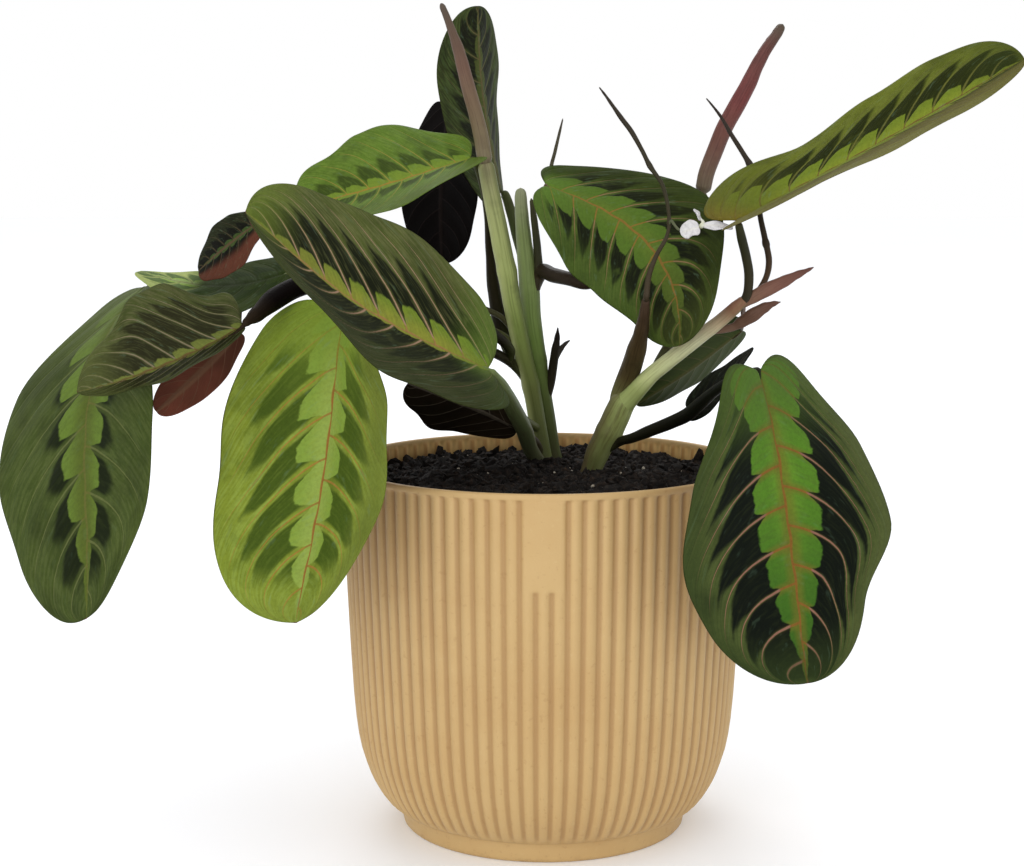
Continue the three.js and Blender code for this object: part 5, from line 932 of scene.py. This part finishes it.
    kk = Nodes("soil_crumb")
    m1 = kk.noise(kk.obj, 420.0, 3.0, 0.7)
    cc = kk.ramp(m1, [(0.34, (12, 10, 9)), (0.52, (28, 22, 18)), (0.66, (50, 39, 30)), (0.78, (92, 74, 56))])
    kk.bump(kk.noise(kk.obj, 2200.0, 3.0, 0.7), 0.0005, 0.9)
    crumb = kk.done(cc, 0.9, Specular_IOR_Level=0.2)
    kp = Nodes("soil_grain")
    m2 = kp.noise(kp.obj, 600.0, 2.0, 0.6)
    gp = kp.ramp(m2, [(0.35, (150, 138, 118)), (0.65, (205, 198, 182))])
    grain = kp.done(gp, 0.85, Specular_IOR_Level=0.2)
    crumbs("soil_crumbs", 3600, 0.45, 2.1, crumb)
    crumbs("soil_bark", 420, 0.9, 2.6, crumb, flat=0.35, long=1.9, sink=0.3)
    crumbs("soil_grains", 110, 0.3, 0.75, grain, sink=0.6)


# ---------------------------------------------------------------- build
base_of = {n: np.array(p[:3]) for n, p in LEAVES.items()}
for leaf, p in LEAVES.items():
    blade(leaf, p, LOOKS[leaf])


PARENTS = ["stem_left_front", "stem_left_back", "stem_right", "petiole_right_pale", "stem_right_brown", "flower_stalk", "stalk_rolled_right", "petiole_top_left",
           "petiole_far_left", "petiole_centre_right", "petiole_right_hanging", "petiole_right_long"]
IN_SOIL = ("stem_left_front", "stem_left_back", "stem_right")


def parent_point(name, rows):
    """a stalk leaves its parent at a slant: it starts inside the parent, some way below the place where it comes out"""
    if name in IN_SOIL:
        return None
    best, where = 13.0, None
    p = np.array(rows[0][:3])
    for other in PARENTS:
        if other == name:
            continue
        Q, R = curve_points(STALKS[other])
        d = np.linalg.norm(Q - p, axis=1)
        i = int(np.argmin(d))
        if d[i] - R[i] < best and d[i] > 0.5:
            run = np.concatenate([[0], np.cumsum(np.linalg.norm(np.diff(Q, axis=0), axis=1))])
            back = 2.5 if i > len(Q) - 5 else min(10.0, 3.0 * R[i])
            j = max(int(np.searchsorted(run, run[i] - back)), 0)
            best, where = d[i] - R[i], (Q[j], R[j])
    return where


for stalk, rows in STALKS.items():
    o = dict(STALK_LOOKS.get(stalk, {}))
    mat = stalk_material(stalk, **o.get("mat", {"stops": [(0, (100, 125, 65))]}))
    extra = []
    if "leaf" in o:
        line = midrib(LEAVES[o["leaf"]])
        sz = LEAVES[o["leaf"]][7] / 35.0
        r_end = max(0.8 * sz, 0.45)
        for i_, dn in ((0, 0.5), (3, 1.25), (6, 1.1)):
            q = line[i_, 0] - line[i_, 2] * dn * max(sz, 0.6)
            extra.append((q[0], q[1], q[2], r_end * (1 - 0.11 * i_)))
    root_ = parent_point(stalk, rows)
    if "root" in o:
        rows = [o["root"]] + list(rows)
        o["start"] = 0.0
    elif root_ is not None:
        q, rad_ = root_
        rows = [(q[0], q[1], q[2], min(rows[0][3] * 0.9, rad_ * 0.62))] + list(rows)
        o["start"] = 0.0
    ob = tube(stalk, rows, mat, sides=o.get("sides", 22), bulges=o.get("bulges", ()), bend=o.get("bend", ()), section=o.get("section"),
              start=o.get("start", 3.0), end=o.get("end", 0.0), grow=extra or o.get("grow", ()))
    hand_in(ob, o.get("slot", "stalk_green"), stalk)

for piece, (rows, slot_, opts, look_) in EXTRAS.items():
    hand_in(tube(piece, rows, stalk_material(piece, **look_), **opts), slot_)
for petal, p in PETALS.items():
    blade(petal, p, PETAL_LOOK, nr=26, nc=16)
soil()
pot()

# ---------------------------------------------------------------- stage, light, camera
scene = bpy.context.scene


def stage_mesh(name, verts, faces, mat):
    ob = mesh_object(name, verts, faces, mats=(mat,))
    return ob


kf = Nodes("paper_floor")
fn = kf.noise(kf.obj, 3.0, 2.0, 0.5)
floor_mat = kf.done(kf.mix(fn, (0.88, 0.90, 0.93, 1.0), (0.90, 0.92, 0.95, 1.0)), 0.85, Specular_IOR_Level=0.05, Emission_Color=(1, 1, 1, 1), Emission_Strength=0.10)
S = 6.0
stage_mesh("floor", [(-S, -S, 0), (S, -S, 0), (S, S, 0), (-S, S, 0)], [(0, 1, 2, 3)], floor_mat)

world = bpy.data.worlds.new("studio")
scene.world = world
world.use_nodes = True
wn = world.node_tree
bg = wn.nodes["Background"]
bg.inputs[0].default_value = (1.0, 1.0, 1.0, 1.0)
bg.inputs[1].default_value = WORLD


def area(name, loc, target, size, power, color=(1, 1, 1), size_y=None):
    li = bpy.data.lights.new(name, "AREA")
    li.energy = power
    li.color = color
    li.shape = "RECTANGLE"
    li.size = size
    li.size_y = size_y or size
    ob = bpy.data.objects.new(name, li)
    scene.collection.objects.link(ob)
    ob.location = loc
    ob.rotation_euler = (Vector(target) - Vector(loc)).to_track_quat("-Z", "Y").to_euler()
    return ob


for args in LIGHTS:
    area(*args)

cam = bpy.data.cameras.new("camera")
cam.sensor_width = 36.0
cam.sensor_fit = "HORIZONTAL"
cam.lens = 2019.1 / 1024 * 36.0
cam.clip_start, cam.clip_end = 0.01, 50
co = bpy.data.objects.new("camera", cam)
scene.collection.objects.link(co)
yaw, tip = 0.016, 0.1410
co.location = (0, -0.700, 0.23804)
look_at = Vector((-math.sin(yaw) * math.cos(tip), math.cos(yaw) * math.cos(tip), -math.sin(tip)))
co.rotation_euler = look_at.to_track_quat("-Z", "Y").to_euler()
scene.camera = co
scene.view_settings.view_transform = "Standard"
scene.view_settings.look = "None"
scene.view_settings.exposure = 0.0
scene.view_settings.gamma = 1.0
